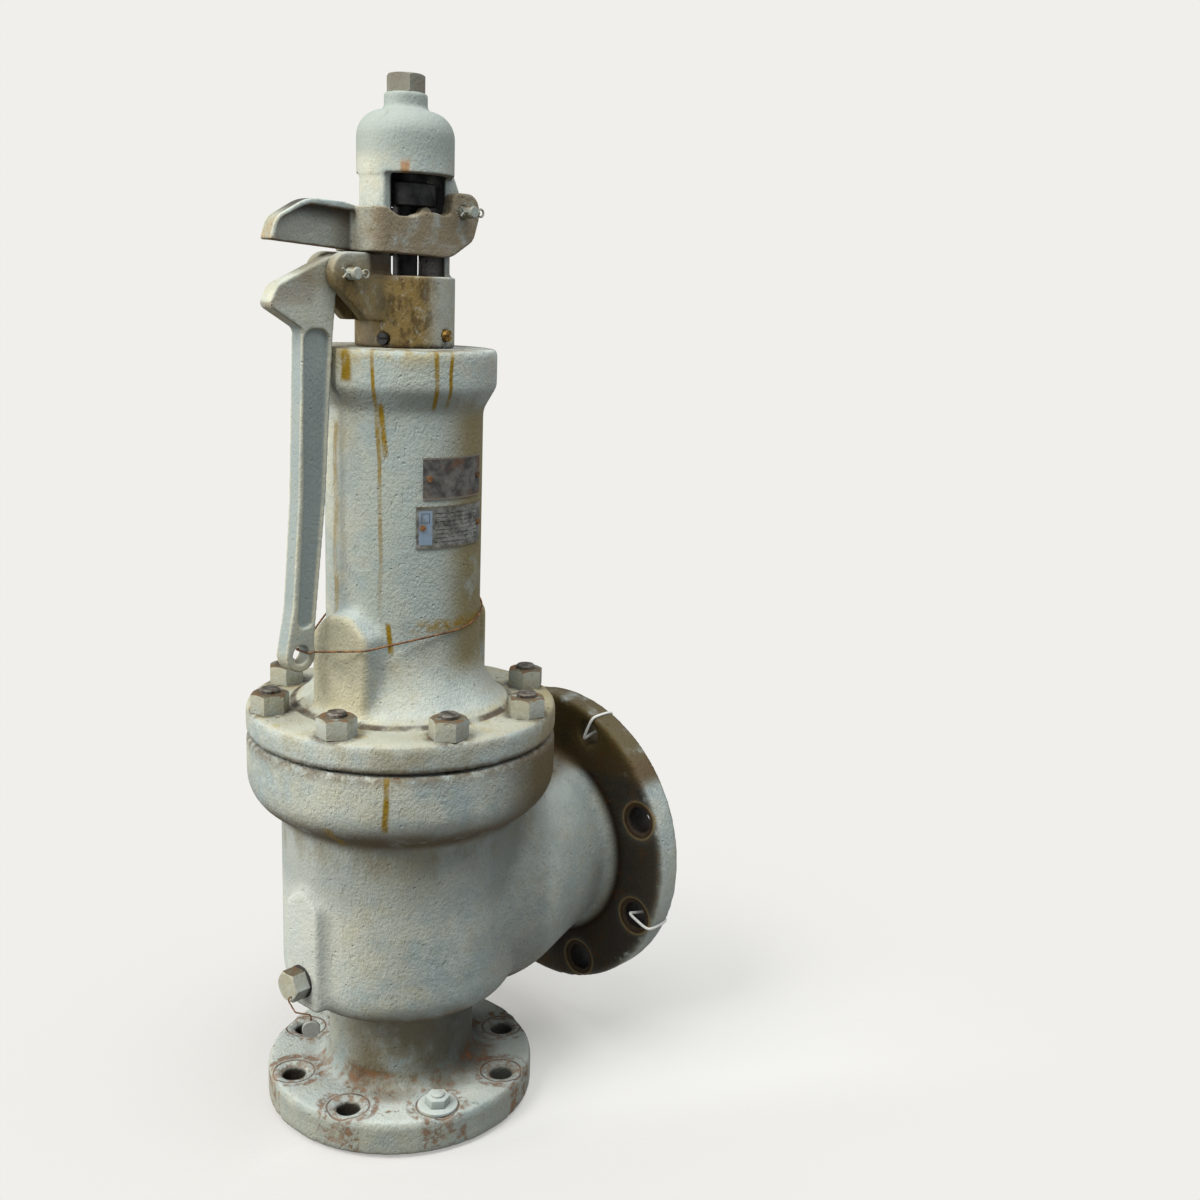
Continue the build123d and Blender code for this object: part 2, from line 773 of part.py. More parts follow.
with BuildPart() as bonnet:
    turned(
        [
            (0, bonnet_bottom, 0),
            (bonnet_flange_radius, bonnet_bottom, 2),
            (bonnet_flange_radius, bonnet_flange_top, 3),
            (bonnet_foot_radius, bonnet_flange_top, 0),
            (bonnet_foot_radius, bonnet_flange_top + bonnet_foot_step, 1.2),
            (bonnet_foot_radius - 3, bonnet_flange_top + bonnet_foot_step, 0),
            (bonnet_radius, bonnet_heel_height, bonnet_heel_rounding),
            (bonnet_radius, collar_foot - collar_bevel_height, 8),
            (collar_radius, collar_foot, 6),
            (collar_radius, bonnet_top, 2),
            (spigot_radius, bonnet_top, 0),
            (spigot_radius, spigot_top, 1),
            (0, spigot_top, 0),
        ]
    )
    pad_spread = pad_depth * tan(radians(pad_draft))
    pad_half = pad_half_width + pad_spread
    pad_face = outline(
        [
            (-pad_half, bonnet_flange_top - pad_spread, 0),
            (pad_half, bonnet_flange_top - pad_spread, 0),
            (pad_half, pad_top + pad_spread - pad_crown, pad_rounding),
            (pad_half - pad_crown, pad_top + pad_spread, pad_rounding),
            (pad_crown - pad_half, pad_top + pad_spread, pad_rounding),
            (-pad_half, pad_top + pad_spread - pad_crown, pad_rounding),
        ]
    )
    for angle in (pad_angle, pad_angle + 180):
        pad_root = facing_plane(angle, pad_reach - pad_depth)
        extrude(pad_root * pad_face, amount=pad_depth, taper=pad_draft)
    turned(
        [
            (0, bonnet_bottom, 0),
            (bonnet_mouth_radius, bonnet_bottom, 0),
            (bonnet_mouth_radius, bonnet_bottom + bonnet_mouth_height, 6),
            (bonnet_bore_radius, bonnet_bore_bottom, 8),
            (bonnet_bore_radius, bonnet_cavity_top, 5),
            (0, bonnet_cavity_top, 0),
        ],
        Mode.SUBTRACT,
    )
    with BuildSketch(Plane.XY.offset(bonnet_cavity_top)):
        Circle(adjusting_screw_radius + thread_gap)
    extrude(amount=spigot_top - bonnet_cavity_top, mode=Mode.SUBTRACT)
    flange_holes(
        Plane.XY.offset(bonnet_flange_top),
        stud_circle_radius,
        stud_radius + stud_hole_gap,
        bonnet_flange_thickness,
    )
    rivet_holes(bonnet_radius - plate_rivet_shank_length - 1, bonnet_radius + 1)
save(bonnet.part, "bonnet")

# Plates and the drive rivets that hold them
plate_inner_radius = bonnet_radius + plate_gap
plate_outer_radius = plate_inner_radius + plate_thickness
for label, start, end, bottom, top in plates:
    with BuildPart() as plate:
        add(ring_sector(plate_inner_radius, plate_outer_radius, bottom, top, start, end))
        rivet_holes(bonnet_radius - 1, plate_outer_radius + 1)
    save(plate.part, label)

with BuildPart() as plate_rivets:
    for angle, height in rivet_places:
        with BuildSketch(facing_plane(angle, bonnet_radius - plate_rivet_shank_length, height)):
            Circle(plate_rivet_shank_radius)
        extrude(amount=plate_outer_radius - bonnet_radius + plate_rivet_shank_length)
        with BuildSketch(facing_plane(angle, plate_outer_radius, height)):
            Circle(plate_rivet_radius)
        extrude(amount=plate_rivet_height)
save(plate_rivets.part, "plate_rivets")

# Bonnet studs and nuts
stud_bottom = body_top - stud_depth
stud_top = bonnet_flange_top + nut_height + stud_end
with BuildPart() as bonnet_studs:
    with BuildSketch(Plane.XY.offset(stud_bottom)):
        with PolarLocations(stud_circle_radius, flange_bolt_count, start_angle=180 / flange_bolt_count):
            Circle(stud_radius)
    extrude(amount=stud_top - stud_bottom)
    chamfer(bonnet_studs.edges().group_by(Axis.Z)[-1], 1.2)
save(bonnet_studs.part, "bonnet_studs")

with BuildPart() as bonnet_nuts:
    with Locations((0, 0, bonnet_flange_top)):
        with PolarLocations(stud_circle_radius, flange_bolt_count, start_angle=180 / flange_bolt_count):
            add(hexagon_bar(nut_across_flats, nut_height, stud_radius + thread_gap))
save(bonnet_nuts.part, "bonnet_nuts")

# Spindle
with BuildPart() as spindle:
    turned(
        [
            (0, holder_pocket_floor, 0),
            (spindle_radius, holder_pocket_floor, 5),
            (spindle_radius, spring_washer_bottom - spindle_collar_height, 0),
            (spindle_collar_radius, spring_washer_bottom - spindle_collar_height, 1),
            (spindle_collar_radius, spring_washer_bottom, 0),
            (spindle_radius, spring_washer_bottom, 0),
            (spindle_radius, spindle_top, 1.5),
            (0, spindle_top, 0),
        ]
    )
save(spindle.part, "spindle")

# Spring washers, with hubs that centre the spring
with BuildPart() as lower_spring_washer:
    turned(
        [
            (spindle_bore_radius, spring_washer_bottom, 0),
            (washer_radius, spring_washer_bottom, 2),
            (washer_radius, spring_bottom, 1),
            (washer_hub_radius, spring_bottom, 0),
            (washer_hub_radius, spring_bottom + washer_hub_height, 2),
            (spindle_bore_radius, spring_bottom + washer_hub_height, 0),
        ]
    )
save(lower_spring_washer.part, "lower_spring_washer")

with BuildPart() as upper_spring_washer:
    turned(
        [
            (spindle_bore_radius, spring_top - washer_hub_height, 0),
            (washer_hub_radius, spring_top - washer_hub_height, 2),
            (washer_hub_radius, spring_top, 0),
            (washer_radius, spring_top, 1),
            (washer_radius, spring_washer_top, 2),
            (spindle_bore_radius, spring_washer_top, 0),
        ]
    )
save(upper_spring_washer.part, "upper_spring_washer")

# Spring, ground flat at both ends
spring_length = spring_top - spring_bottom
with BuildPart() as spring:
    with BuildLine(Plane.XY.offset(spring_bottom)):
        coil = Helix(
            pitch=spring_length / spring_turns, height=spring_length, radius=spring_mean_radius
        )
    with BuildSketch(Plane(origin=coil @ 0, z_dir=coil % 0)):
        Circle(spring_wire_radius)
    sweep(path=coil, is_frenet=True)
    with BuildSketch(Plane.XY.offset(spring_bottom)):
        Circle(spring_mean_radius + spring_wire_radius + 1)
    extrude(amount=spring_length, mode=Mode.INTERSECT)
save(spring.part, "spring")

# Adjusting screw with its hexagon, and its locknut on the spigot
adjusting_head_bottom = adjusting_screw_top - adjusting_head_height
with BuildPart() as adjusting_screw:
    turned(
        [
            (spindle_bore_radius, spring_washer_top, 0),
            (adjusting_screw_radius, spring_washer_top, 1.5),
            (adjusting_screw_radius, adjusting_head_bottom, 0),
            (spindle_bore_radius, adjusting_head_bottom, 0),
        ]
    )
    with Locations((0, 0, adjusting_head_bottom)):
        add(hexagon_bar(adjusting_head_across_flats, adjusting_head_height, spindle_bore_radius))
save(adjusting_screw.part, "adjusting_screw")

locknut_bore = adjusting_screw_radius + thread_gap
with BuildPart() as adjusting_screw_locknut:
    with Locations((0, 0, spigot_top)):
        add(hexagon_bar(adjusting_locknut_across_flats, adjusting_locknut_height, locknut_bore))
save(adjusting_screw_locknut.part, "adjusting_screw_locknut")

# Release nut and its locknut on the spindle
release_bore = spindle_radius + thread_gap
release_nut_top = release_nut_height + release_nut_thickness
with BuildPart() as release_nut:
    turned(
        [
            (release_bore, release_nut_height, 0),
            (release_nut_radius, release_nut_height, 1),
            (release_nut_radius, release_nut_top, 1.5),
            (release_bore, release_nut_top, 0),
        ]
    )
save(release_nut.part, "release_nut")

with BuildPart() as release_locknut:
    with Locations((0, 0, release_nut_top)):
        add(hexagon_bar(release_locknut_across_flats, release_locknut_thickness, release_bore))
save(release_locknut.part, "release_locknut")

# Cap: two windows, an ear for the lifting lever and two ears for the drop lever
ear_tangent_x = drop_pin_x - drop_ear_radius * sin(radians(drop_ear_slope))
ear_tangent_z = drop_pin_z - drop_ear_radius * cos(radians(drop_ear_slope))
ear_foot_x = ear_tangent_x + (ear_tangent_z - drop_ear_foot) / tan(radians(drop_ear_slope))
cap_root = cap_inner_radius - 5
cap_reach = fulcrum_x + 2 * fulcrum_ear_radius
with BuildSketch() as fulcrum_ear:
    with Locations((fulcrum_x, fulcrum_z)):
        Circle(fulcrum_ear_radius)
    with BuildLine():
        Polyline(
            (cap_root, window_top + 2),
            (cap_dome_radius, window_top + 2),
            (fulcrum_x + fulcrum_ear_radius * 0.83, fulcrum_z + fulcrum_ear_radius * 0.56),
            (fulcrum_x + fulcrum_ear_radius * 0.83, fulcrum_z - fulcrum_ear_radius * 0.56),
            (cap_window_radius - 1, fulcrum_z - 1.8 * fulcrum_ear_radius),
            (cap_root, fulcrum_z - 1.8 * fulcrum_ear_radius),
            close=True,
        )
    make_face()

with BuildSketch() as drop_ear:
    with Locations((drop_pin_x, drop_pin_z)):
        Circle(drop_ear_radius)
    with BuildLine():
        Polyline(
            (drop_pin_x, drop_pin_z + drop_ear_radius),
            (drop_pin_x, drop_pin_z),
            (ear_tangent_x, ear_tangent_z),
            (ear_foot_x, drop_ear_foot),
            (-cap_root, drop_ear_foot),
            (-cap_root, drop_pin_z + drop_ear_radius),
            close=True,
        )
    make_face()

window = outline(
    [
        (-drop_ear_end, window_bottom, 0),
        (cap_reach, window_bottom, 0),
        (cap_reach, window_top, 0),
        (-window_corner_x, window_top, window_corner),
        (-drop_ear_end, window_top, 0),
    ]
)
with BuildPart() as cap:
    turned(
        [
            (0, bonnet_top, 0),
            (cap_base_radius, bonnet_top, 1.5),
            (cap_base_radius, window_bottom + 1, 0),
            (cap_window_radius, window_bottom + 1, 0),
            (cap_window_radius, window_top - 1, 0),
            (cap_dome_radius, window_top - 1, 0),
            (cap_dome_radius, dome_top - dome_fall, dome_corner),
            (cap_neck_radius, dome_top, 4),
            (cap_neck_radius, cap_neck_top, 2),
            (0, cap_neck_top, 0),
        ]
    )
    slab(fulcrum_ear.sketch, -column_half_width, column_half_width)
    both_sides(drop_ear.sketch, drop_ear_inner, drop_ear_outer)
    turned(
        [
            (0, bonnet_top, 0),
            (cap_inner_radius, bonnet_top, 0),
            (cap_inner_radius, dome_top - dome_wall, dome_corner - dome_wall),
            (0, dome_top - dome_wall, 0),
        ],
        Mode.SUBTRACT,
    )
    both_sides(window, column_half_width, cap_reach, Mode.SUBTRACT)
    with BuildSketch(Plane.XY.offset(cap_neck_top)):
        Circle(cap_bolt_radius + thread_gap)
    extrude(amount=dome_top - dome_wall - cap_neck_top, mode=Mode.SUBTRACT)
    drill_across(fulcrum_x, fulcrum_z, fulcrum_pin_radius + running_gap, -cap_reach, cap_reach)
    drill_across(drop_pin_x, drop_pin_z, drop_pin_radius + running_gap, -cap_reach, cap_reach)
    for angle, height in ((front_screw_angle, front_screw_height), (side_screw_angle, side_screw_height)):
        with BuildSketch(facing_plane(angle, spigot_radius, height)):
            Circle(cap_screw_radius + thread_gap)
        extrude(amount=cap_base_radius - spigot_radius + 1, mode=Mode.SUBTRACT)
save(cap.part, "cap")


def cap_screw(angle, height):
    """A slotted set screw through the cap's base, down on the spigot."""
    with BuildPart() as screw:
        with BuildSketch(facing_plane(angle, spigot_radius + running_gap, height)):
            Circle(cap_screw_radius)
        extrude(amount=cap_screw_length)
        with BuildSketch(facing_plane(angle, spigot_radius + running_gap + cap_screw_length, height)):
            Rectangle(2 * cap_screw_radius, cap_screw_slot_width)
        extrude(amount=-cap_screw_slot_depth, mode=Mode.SUBTRACT)
    return screw.part


save(cap_screw(front_screw_angle, front_screw_height), "cap_set_screw_front")
save(cap_screw(side_screw_angle, side_screw_height), "cap_set_screw_side")

with BuildPart() as cap_bolt:
    with BuildSketch(Plane.XY.offset(dome_top - dome_wall)):
        Circle(cap_bolt_radius)
    extrude(amount=cap_neck_top - dome_top + dome_wall)
    with Locations((0, 0, cap_neck_top)):
        add(hexagon_bar(cap_bolt_across_flats, cap_bolt_head_height))
save(cap_bolt.part, "cap_bolt")

# Lifting lever: seen from the side, then cut to its fork from above
crotch = cap_window_radius + crotch_gap
lug_height = release_nut_height - lug_gap - lug_radius
fork_side = outline(
    [
        (-fork_front, arm_underside + 2, 0),
        (fulcrum_x - 12, arm_underside, 25),
        (fulcrum_x + 11.5, arm_underside + 14, 12),
        (arm_boss_end, arm_underside + 31, 10),
        (arm_boss_end, arm_boss_top, 12),
        (fulcrum_x - 10, arm_boss_top, 8),
        (fulcrum_x - 13, arm_dip_height + 4.5, 0),
        (fulcrum_x - 19, arm_dip_height + 2.7, 6),
        (lug_x + 5, arm_dip_height + 4.3, 5),
        (lug_x - 5, arm_dip_height + 4.3, 5),
        (lug_x - 17, arm_dip_height, 8),
        (lug_x - 31, arm_dip_height, 8),
        (-crotch, arm_top, 6),
        (-fork_front, arm_top - 0.5, 0),
    ]
)
fork_plan = outline(
    [
        (-fork_front, -arm_outer, fork_corner),
        (cap_reach, -arm_outer, 0),
        (cap_reach, -arm_inner, 0),
        (-crotch, -arm_inner, 4),
        (-crotch, arm_inner, 4),
        (cap_reach, arm_inner, 0),
        (cap_reach, arm_outer, 0),
        (-fork_front, arm_outer, fork_corner),
    ]
)
finger = outline(
    [
        (-fork_front + 2, arm_underside + 2, 0),
        (-fork_front + 2, arm_top - 0.5, 0),
        (-fork_front - 10, arm_top + 2, 12),
        (33 - finger_tip, arm_top + 2.8, 34),
        (5 - finger_tip, finger_tip_height + 15.8, 14),
        (-finger_tip, finger_tip_height, 1.5),
    ]
)
finger_recess = outline(
    [
        (-fork_front, arm_underside - 5, 0),
        (-fork_front, arm_top - 4, 3),
        (33 - finger_tip, arm_top + 2.8 - finger_flange, 30),
        (8 - finger_tip, finger_tip_height + 14.2, 11),
        (2.8 - finger_tip, finger_tip_height - 5, 0),
    ]
)
with BuildSketch() as lug:
    with Locations((lug_x, lug_height)):
        Circle(lug_radius)

with BuildPart() as lifting_lever:
    slab(fork_side, -arm_outer, arm_outer)
    extrude(
        Plane.XY.offset(arm_underside - 5) * fork_plan,
        amount=arm_boss_top - arm_underside + 10,
        mode=Mode.INTERSECT,
    )
    both_sides(lug.sketch, arm_inner, arm_inner + lug_width)
    slab(finger, -lever_bar_half_thickness, lever_bar_half_thickness)
    both_sides(finger_recess, lever_web_half_thickness, lever_bar_half_thickness, Mode.SUBTRACT)
    drill_across(fulcrum_x, fulcrum_z, fulcrum_pin_radius + running_gap, -arm_outer, arm_outer)
save(lifting_lever.part, "lifting_lever")

# Drop lever: a nose that pushes the finger up, a grooved bar and an eye
drop_bar = outline(
    [
        (drop_pin_x, drop_pin_z + drop_head_radius, 0),
        (drop_pin_x - 12, drop_pin_z + 10.8, 12),
        (drop_pin_x - 56.5, drop_pin_z - 9.6, 10),
        (drop_pin_x - 65, drop_pin_z - 24.5, 5),
        (drop_pin_x - 35.8, drop_pin_z - 40.8, 6),
        (drop_pin_x - 40, drop_pin_z - 165.6, 120),
        (drop_pin_x - 46.5, drop_pin_z - 248, 60),
        (drop_eye_x - drop_eye_rim_radius * 0.94, drop_eye_z + 5, 0),
        (drop_eye_x + drop_eye_rim_radius * 0.9, drop_eye_z + 6, 0),
        (drop_eye_x + 13.6, drop_eye_z + 22, 12),
        (drop_pin_x - 16.1, drop_pin_z - 167.7, 0),
        (drop_pin_x - 8.5, drop_pin_z - 48.7, 60),
        (drop_pin_x - 5, drop_pin_z - 15, 0),
        (drop_pin_x + drop_head_radius, drop_pin_z, 0),
    ]
)
drop_groove = outline(
    [
        (drop_pin_x - 34.2, drop_pin_z - 40.6, 9),
        (drop_pin_x - 10.8, drop_pin_z - 40.6, 9),
        (drop_pin_x - 18.6, drop_pin_z - 167.7, 0),
        (drop_pin_x - 29.5, drop_pin_z - 264.6, 6),
        (drop_pin_x - 42.9, drop_pin_z - 264.6, 6),
        (drop_pin_x - 36, drop_pin_z - 166.2, 0),
    ]
)
with BuildSketch() as drop_ends:
    with Locations((drop_pin_x, drop_pin_z), (drop_eye_x, drop_eye_z)):
        Circle(drop_head_radius)

with BuildPart() as drop_lever:
    slab(drop_bar, -lever_bar_half_thickness, lever_bar_half_thickness)
    slab(drop_ends.sketch, -lever_bar_half_thickness, lever_bar_half_thickness)
    groove_floor = lever_bar_half_thickness - drop_groove_depth
    both_sides(drop_groove, groove_floor, lever_bar_half_thickness, Mode.SUBTRACT)
    drill_across(
        drop_pin_x,
        drop_pin_z,
        drop_pin_radius + running_gap,
        -lever_bar_half_thickness,
        lever_bar_half_thickness,
    )
    drill_across(
        drop_eye_x,
        drop_eye_z,
        drop_eye_radius,
        -lever_bar_half_thickness,
        lever_bar_half_thickness,
    )
save(drop_lever.part, "drop_lever")


def lever_pin(x, z, radius, end, far_face):
    """A headed pin along Y, cross-drilled near its end for a split pin."""
    with BuildPart() as pin:
        with BuildSketch(Plane.XZ.offset(-far_face)):
            with Locations((x, z)):
                Circle(radius)
        extrude(amount=far_face + end)
        chamfer(pin.edges().sort_by(Axis.Y)[0], 1)
        with BuildSketch(Plane.XZ.offset(-far_face - pin_head_thickness)):
            with Locations((x, z)):
                Circle(pin_head_radius)
        extrude(amount=pin_head_thickness)
        with BuildSketch(Plane.YZ.offset(x)):
            with Locations((split_pin_inset - end, z)):
                Circle(split_pin_radius + running_gap)
        extrude(amount=pin_head_radius, both=True, mode=Mode.SUBTRACT)
    return pin.part


def split_pin(x, y, z):
    """A split pin along X with its ring eye and its legs bent apart."""
    with BuildPart() as pin:
        with BuildSketch(Plane.YZ.offset(x - split_pin_length / 2)):
            with Locations((y, z)):
                Circle(split_pin_radius)
        extrude(amount=split_pin_length)
        with Locations(Location((x + split_pin_length / 2 + 1.5, y, z), (90, 0, 0))):
            Torus(split_pin_eye_radius, split_pin_radius * 0.7)
        for lean in (-1, 1):
            leg = Plane(
                origin=(x - split_pin_length / 2 + 1, y, z), x_dir=(0, 1, 0), z_dir=(-1, 0, lean)
            )
            with BuildSketch(leg):
                Circle(split_pin_radius * 0.7)
            extrude(amount=5)
    return pin.part


save(
    lever_pin(fulcrum_x, fulcrum_z, fulcrum_pin_radius, fulcrum_pin_end, arm_outer + loose_gap),
    "lifting_lever_pin",
)
save(
    split_pin(fulcrum_x, split_pin_inset - fulcrum_pin_end, fulcrum_z),
    "lifting_lever_split_pin",
)
save(
    lever_pin(drop_pin_x, drop_pin_z, drop_pin_radius, drop_pin_end, drop_ear_outer),
    "drop_lever_pin",
)
save(split_pin(drop_pin_x, split_pin_inset - drop_pin_end, drop_pin_z), "drop_lever_split_pin")

# Tie wire: round the bonnet, over one pad's corner and to both sides of the drop lever's eye
wire_side = lever_bar_half_thickness + 2 * tie_wire_radius
wire_through_eye = drop_eye_x + drop_eye_radius - tie_wire_radius - tie_wire_gap
wire_hook = wire_through_eye + 4
save(
    wire(
        [
            (wire_hook, -wire_side, drop_eye_z + 1),
            (wire_through_eye, -wire_side, drop_eye_z + 0.5),
            (wire_through_eye, wire_side, drop_eye_z + 0.5),
            (wire_hook, wire_side, drop_eye_z + 1),
        ],
        tie_wire_radius,
        [1.8, 1.8],
    ),
    "tie_wire_eye_loop",
)
corner_reach = pad_reach + tie_wire_radius + tie_wire_gap
corner_swing = pad_half_width + 2 * tie_wire_radius
pad_corner = (
    corner_reach * cos(radians(pad_angle)) - corner_swing * sin(radians(pad_angle)),
    corner_reach * sin(radians(pad_angle)) + corner_swing * cos(radians(pad_angle)),
    drop_eye_z + 4.5,
)
wrap_radius = (bonnet_radius + tie_wire_radius + tie_wire_gap) / cos(radians(wrap_step / 2)) + 0.2
wrap = []
for index in range(wrap_count):
    angle = wrap_start + index * wrap_step
    rise = wrap_low + (wrap_high - wrap_low) * sin(radians(180 * index / (wrap_count - 1))) ** 2
    wrap.append(at_angle(wrap_radius, angle, rise))
save(
    wire(
        [
            (wire_hook + 1, -wire_side, drop_eye_z + 1),
            pad_corner,
            *wrap,
            (wire_hook + 1, wire_side, drop_eye_z + 1),
        ],
        tie_wire_radius,
        [pad_corner_bend, *[wrap_bend] * wrap_count],
    ),
    "tie_wire",
)
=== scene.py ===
"""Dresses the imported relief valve: castings, bolting, plates, wires, floor, lamps and camera."""

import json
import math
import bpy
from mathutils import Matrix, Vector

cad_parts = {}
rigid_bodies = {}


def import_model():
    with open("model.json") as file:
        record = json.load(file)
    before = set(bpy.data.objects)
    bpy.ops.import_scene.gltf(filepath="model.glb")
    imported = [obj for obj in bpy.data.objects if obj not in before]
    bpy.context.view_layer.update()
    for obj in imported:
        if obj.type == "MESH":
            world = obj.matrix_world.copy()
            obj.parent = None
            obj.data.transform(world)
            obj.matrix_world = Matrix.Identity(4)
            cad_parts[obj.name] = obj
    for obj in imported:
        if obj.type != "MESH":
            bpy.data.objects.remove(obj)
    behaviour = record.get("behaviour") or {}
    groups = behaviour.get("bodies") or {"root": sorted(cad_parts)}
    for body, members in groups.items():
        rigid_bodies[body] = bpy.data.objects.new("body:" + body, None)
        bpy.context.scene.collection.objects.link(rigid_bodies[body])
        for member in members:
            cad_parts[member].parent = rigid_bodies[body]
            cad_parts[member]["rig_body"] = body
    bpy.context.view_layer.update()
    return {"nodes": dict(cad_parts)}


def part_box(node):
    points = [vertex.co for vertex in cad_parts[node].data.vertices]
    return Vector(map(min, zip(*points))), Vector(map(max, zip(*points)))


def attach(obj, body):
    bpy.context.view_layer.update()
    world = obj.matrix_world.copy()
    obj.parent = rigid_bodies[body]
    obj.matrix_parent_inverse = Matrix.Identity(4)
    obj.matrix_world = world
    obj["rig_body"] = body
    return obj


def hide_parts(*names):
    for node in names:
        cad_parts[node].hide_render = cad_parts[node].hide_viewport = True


bl_info = {
    "name": "Relief valve dressing",
    "version": (1, 0, 0),
    "blender": (4, 5, 0),
    "location": "View3D > Sidebar > Valve",
    "description": "Painted castings, bolting, plates and stage for a flanged relief valve",
    "category": "Object",
}

import bpy
from bpy.props import FloatProperty, FloatVectorProperty, IntProperty, PointerProperty
from mathutils import Matrix, Vector

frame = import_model()

# Sizes of the valve, in metres
OUTLET_HEIGHT = 0.181
INLET_BOLT_CIRCLE = 0.09525
OUTLET_BOLT_CIRCLE = 0.12065
OUTLET_FLANGE_BACK = 0.1803
OUTLET_FLANGE_FRONT = 0.208
INLET_FLANGE_TOP = 0.0306
STUD_CIRCLE = 0.1104
BONNET_RADIUS = 0.0625
CAP_BORE = 0.0315
LEVER_WEB = 0.005

# The levers' mesh size, as a share of the cap's
LEVER_GRID_SHARE = 0.8

# Angles in degrees, round the valve axis or round the outlet
LOWER_PLATE_START = -122.3
TRANSIT_BOLT_ANGLE = -112.5
TIE_ANGLES = (112.5, 202.5)

# The camera's right, as shares of the valve's X and Y
RIGHT_X = 0.757
RIGHT_Y = -0.653


def shade(red, green, blue):
    """A linear colour with full alpha from 0 to 255 screen values."""
    channels = []
    for value in (red, green, blue):
        part = value / 255
        channels.append(part / 12.92 if part <= 0.04045 else ((part + 0.055) / 1.055) ** 2.4)
    return (*channels, 1.0)


CHALKY_STAIN = shade(146, 138, 104)
BARE_BROWN = shade(38, 21, 5)
SEAT_BROWN = shade(58, 38, 16)
SEAT_RING = shade(128, 112, 78)
# Painted shade inside the outlet flange's bolt holes.
OUTLET_HOLE_SHADE = shade(26, 21, 16)
# Painted shade inside the inlet flange's bolt holes.
INLET_HOLE_SHADE = shade(44, 40, 34)
NECK_DIRT = shade(96, 86, 62)
NECK_SHADOW = shade(58, 62, 60)
RIM_DIRT = shade(118, 116, 98)
FLANGE_SIDE_BROWN = shade(80, 68, 38)
# Painted shade for the inlet flange top on the right.
FLANGE_TOP_SHADE = shade(98, 102, 94)
# Painted shade for the right of the bowl.
BOWL_RIGHT_SHADE = shade(100, 102, 94)
# Painted shade under the body flange.
UNDER_FLANGE_SHADE = shade(88, 94, 92)
WEPT_BROWN = shade(110, 100, 70)
BONNET_COOL = shade(128, 142, 140)
COLLAR_OCHRE = shade(142, 122, 56)
BONNET_OLIVE = shade(108, 96, 54)
FLANGE_END_OCHRE = shade(116, 98, 46)
SPILL_OCHRE = shade(146, 124, 66)
FLANGE_TOP_FILM = shade(140, 134, 106)
DOME_GREY = shade(128, 136, 130)
CAP_OLIVE = shade(104, 82, 26)
CAP_BROWN = shade(60, 46, 22)
CAP_PATCH = shade(150, 100, 40)
# Painted shade in the nook behind the cap's ears.
CAP_NOOK_SHADE = shade(64, 48, 28)
# Painted shade inside the cap.
CAP_INSIDE_SHADE = shade(22, 20, 18)
LEVER_BROWN = shade(112, 94, 64)
# Painted shade on the lifting lever's web.
LEVER_WEB_SHADE = shade(104, 102, 88)
LEVER_SHADOW = shade(32, 25, 19)
# Painted shade at the root of the lifting lever's web.
LEVER_ROOT_SHADE = shade(58, 46, 30)
LEVER_TIP = shade(140, 112, 62)
GROOVE_GREY = shade(118, 130, 131)
NUT_TOP = shade(78, 70, 52)
CAP_BOLT_FILM = shade(98, 93, 80)
STUD_GREY = shade(120, 116, 108)
STUD_DARK = shade(48, 44, 40)
STUD_RUST = shade(70, 48, 30)
OILED_GREY = shade(62, 62, 62)
OILED_BLACK = shade(22, 22, 24)
BRASS_BRIGHT = shade(176, 142, 74)
BRASS_DULL = shade(110, 82, 36)
BRASS_TARNISH = shade(92, 66, 30)
TURNED_BRIGHT = shade(176, 176, 172)
TURNED_DULL = shade(128, 128, 124)
SPRING_GREY = shade(52, 56, 60)
SPRING_DARK = shade(30, 32, 36)
SHEET_DARK = shade(24, 24, 24)
SHEET_PALE = shade(56, 52, 48)
PLATE_DULL = shade(70, 69, 62)
PLATE_BRIGHT = shade(150, 151, 144)
PANEL_BLUE = shade(138, 158, 176)
FRAME_BLUE = shade(40, 52, 80)
PLATE_PRINT = shade(30, 30, 32)
PLATE_DIRT = shade(88, 80, 66)
PLATE_EDGE = shade(110, 96, 70)
BLANK_DARK = shade(58, 56, 54)
BLANK_PALE = shade(108, 106, 100)
BLANK_RUST = shade(96, 66, 44)
BLANK_EDGE = shade(128, 120, 104)
WIRE_BROWN = shade(132, 92, 52)
WIRE_DARK = shade(70, 44, 26)
WIRE_BLACK = shade(44, 30, 20)
SEAL_DARK = shade(104, 105, 100)
SEAL_PALE = shade(148, 148, 140)
TIE_GREY = shade(188, 188, 180)
TIE_WHITE = shade(224, 224, 218)


class Value:
    """A node's output, which can be added, subtracted, multiplied and divided."""

    def __init__(self, tree, socket):
        self.tree = tree
        self.socket = socket

    def maths(self, operation, *items):
        node = self.tree.nodes.new("ShaderNodeMath")
        node.operation = operation
        for place, item in zip(node.inputs, items):
            if isinstance(item, Value):
                self.tree.links.new(item.socket, place)
            else:
                place.default_value = item
        return Value(self.tree, node.outputs[0])

    def __add__(self, other):
        return self.maths("ADD", self, other)

    def __radd__(self, other):
        return self.maths("ADD", other, self)

    def __sub__(self, other):
        return self.maths("SUBTRACT", self, other)

    def __rsub__(self, other):
        return self.maths("SUBTRACT", other, self)

    def __mul__(self, other):
        return self.maths("MULTIPLY", self, other)

    def __rmul__(self, other):
        return self.maths("MULTIPLY", other, self)

    def __truediv__(self, other):
        return self.maths("DIVIDE", self, other)

    def __abs__(self):
        return self.maths("ABSOLUTE", self)

    def root(self):
        return self.maths("SQRT", self)

    def most(self, other):
        return self.maths("MAXIMUM", self, other)


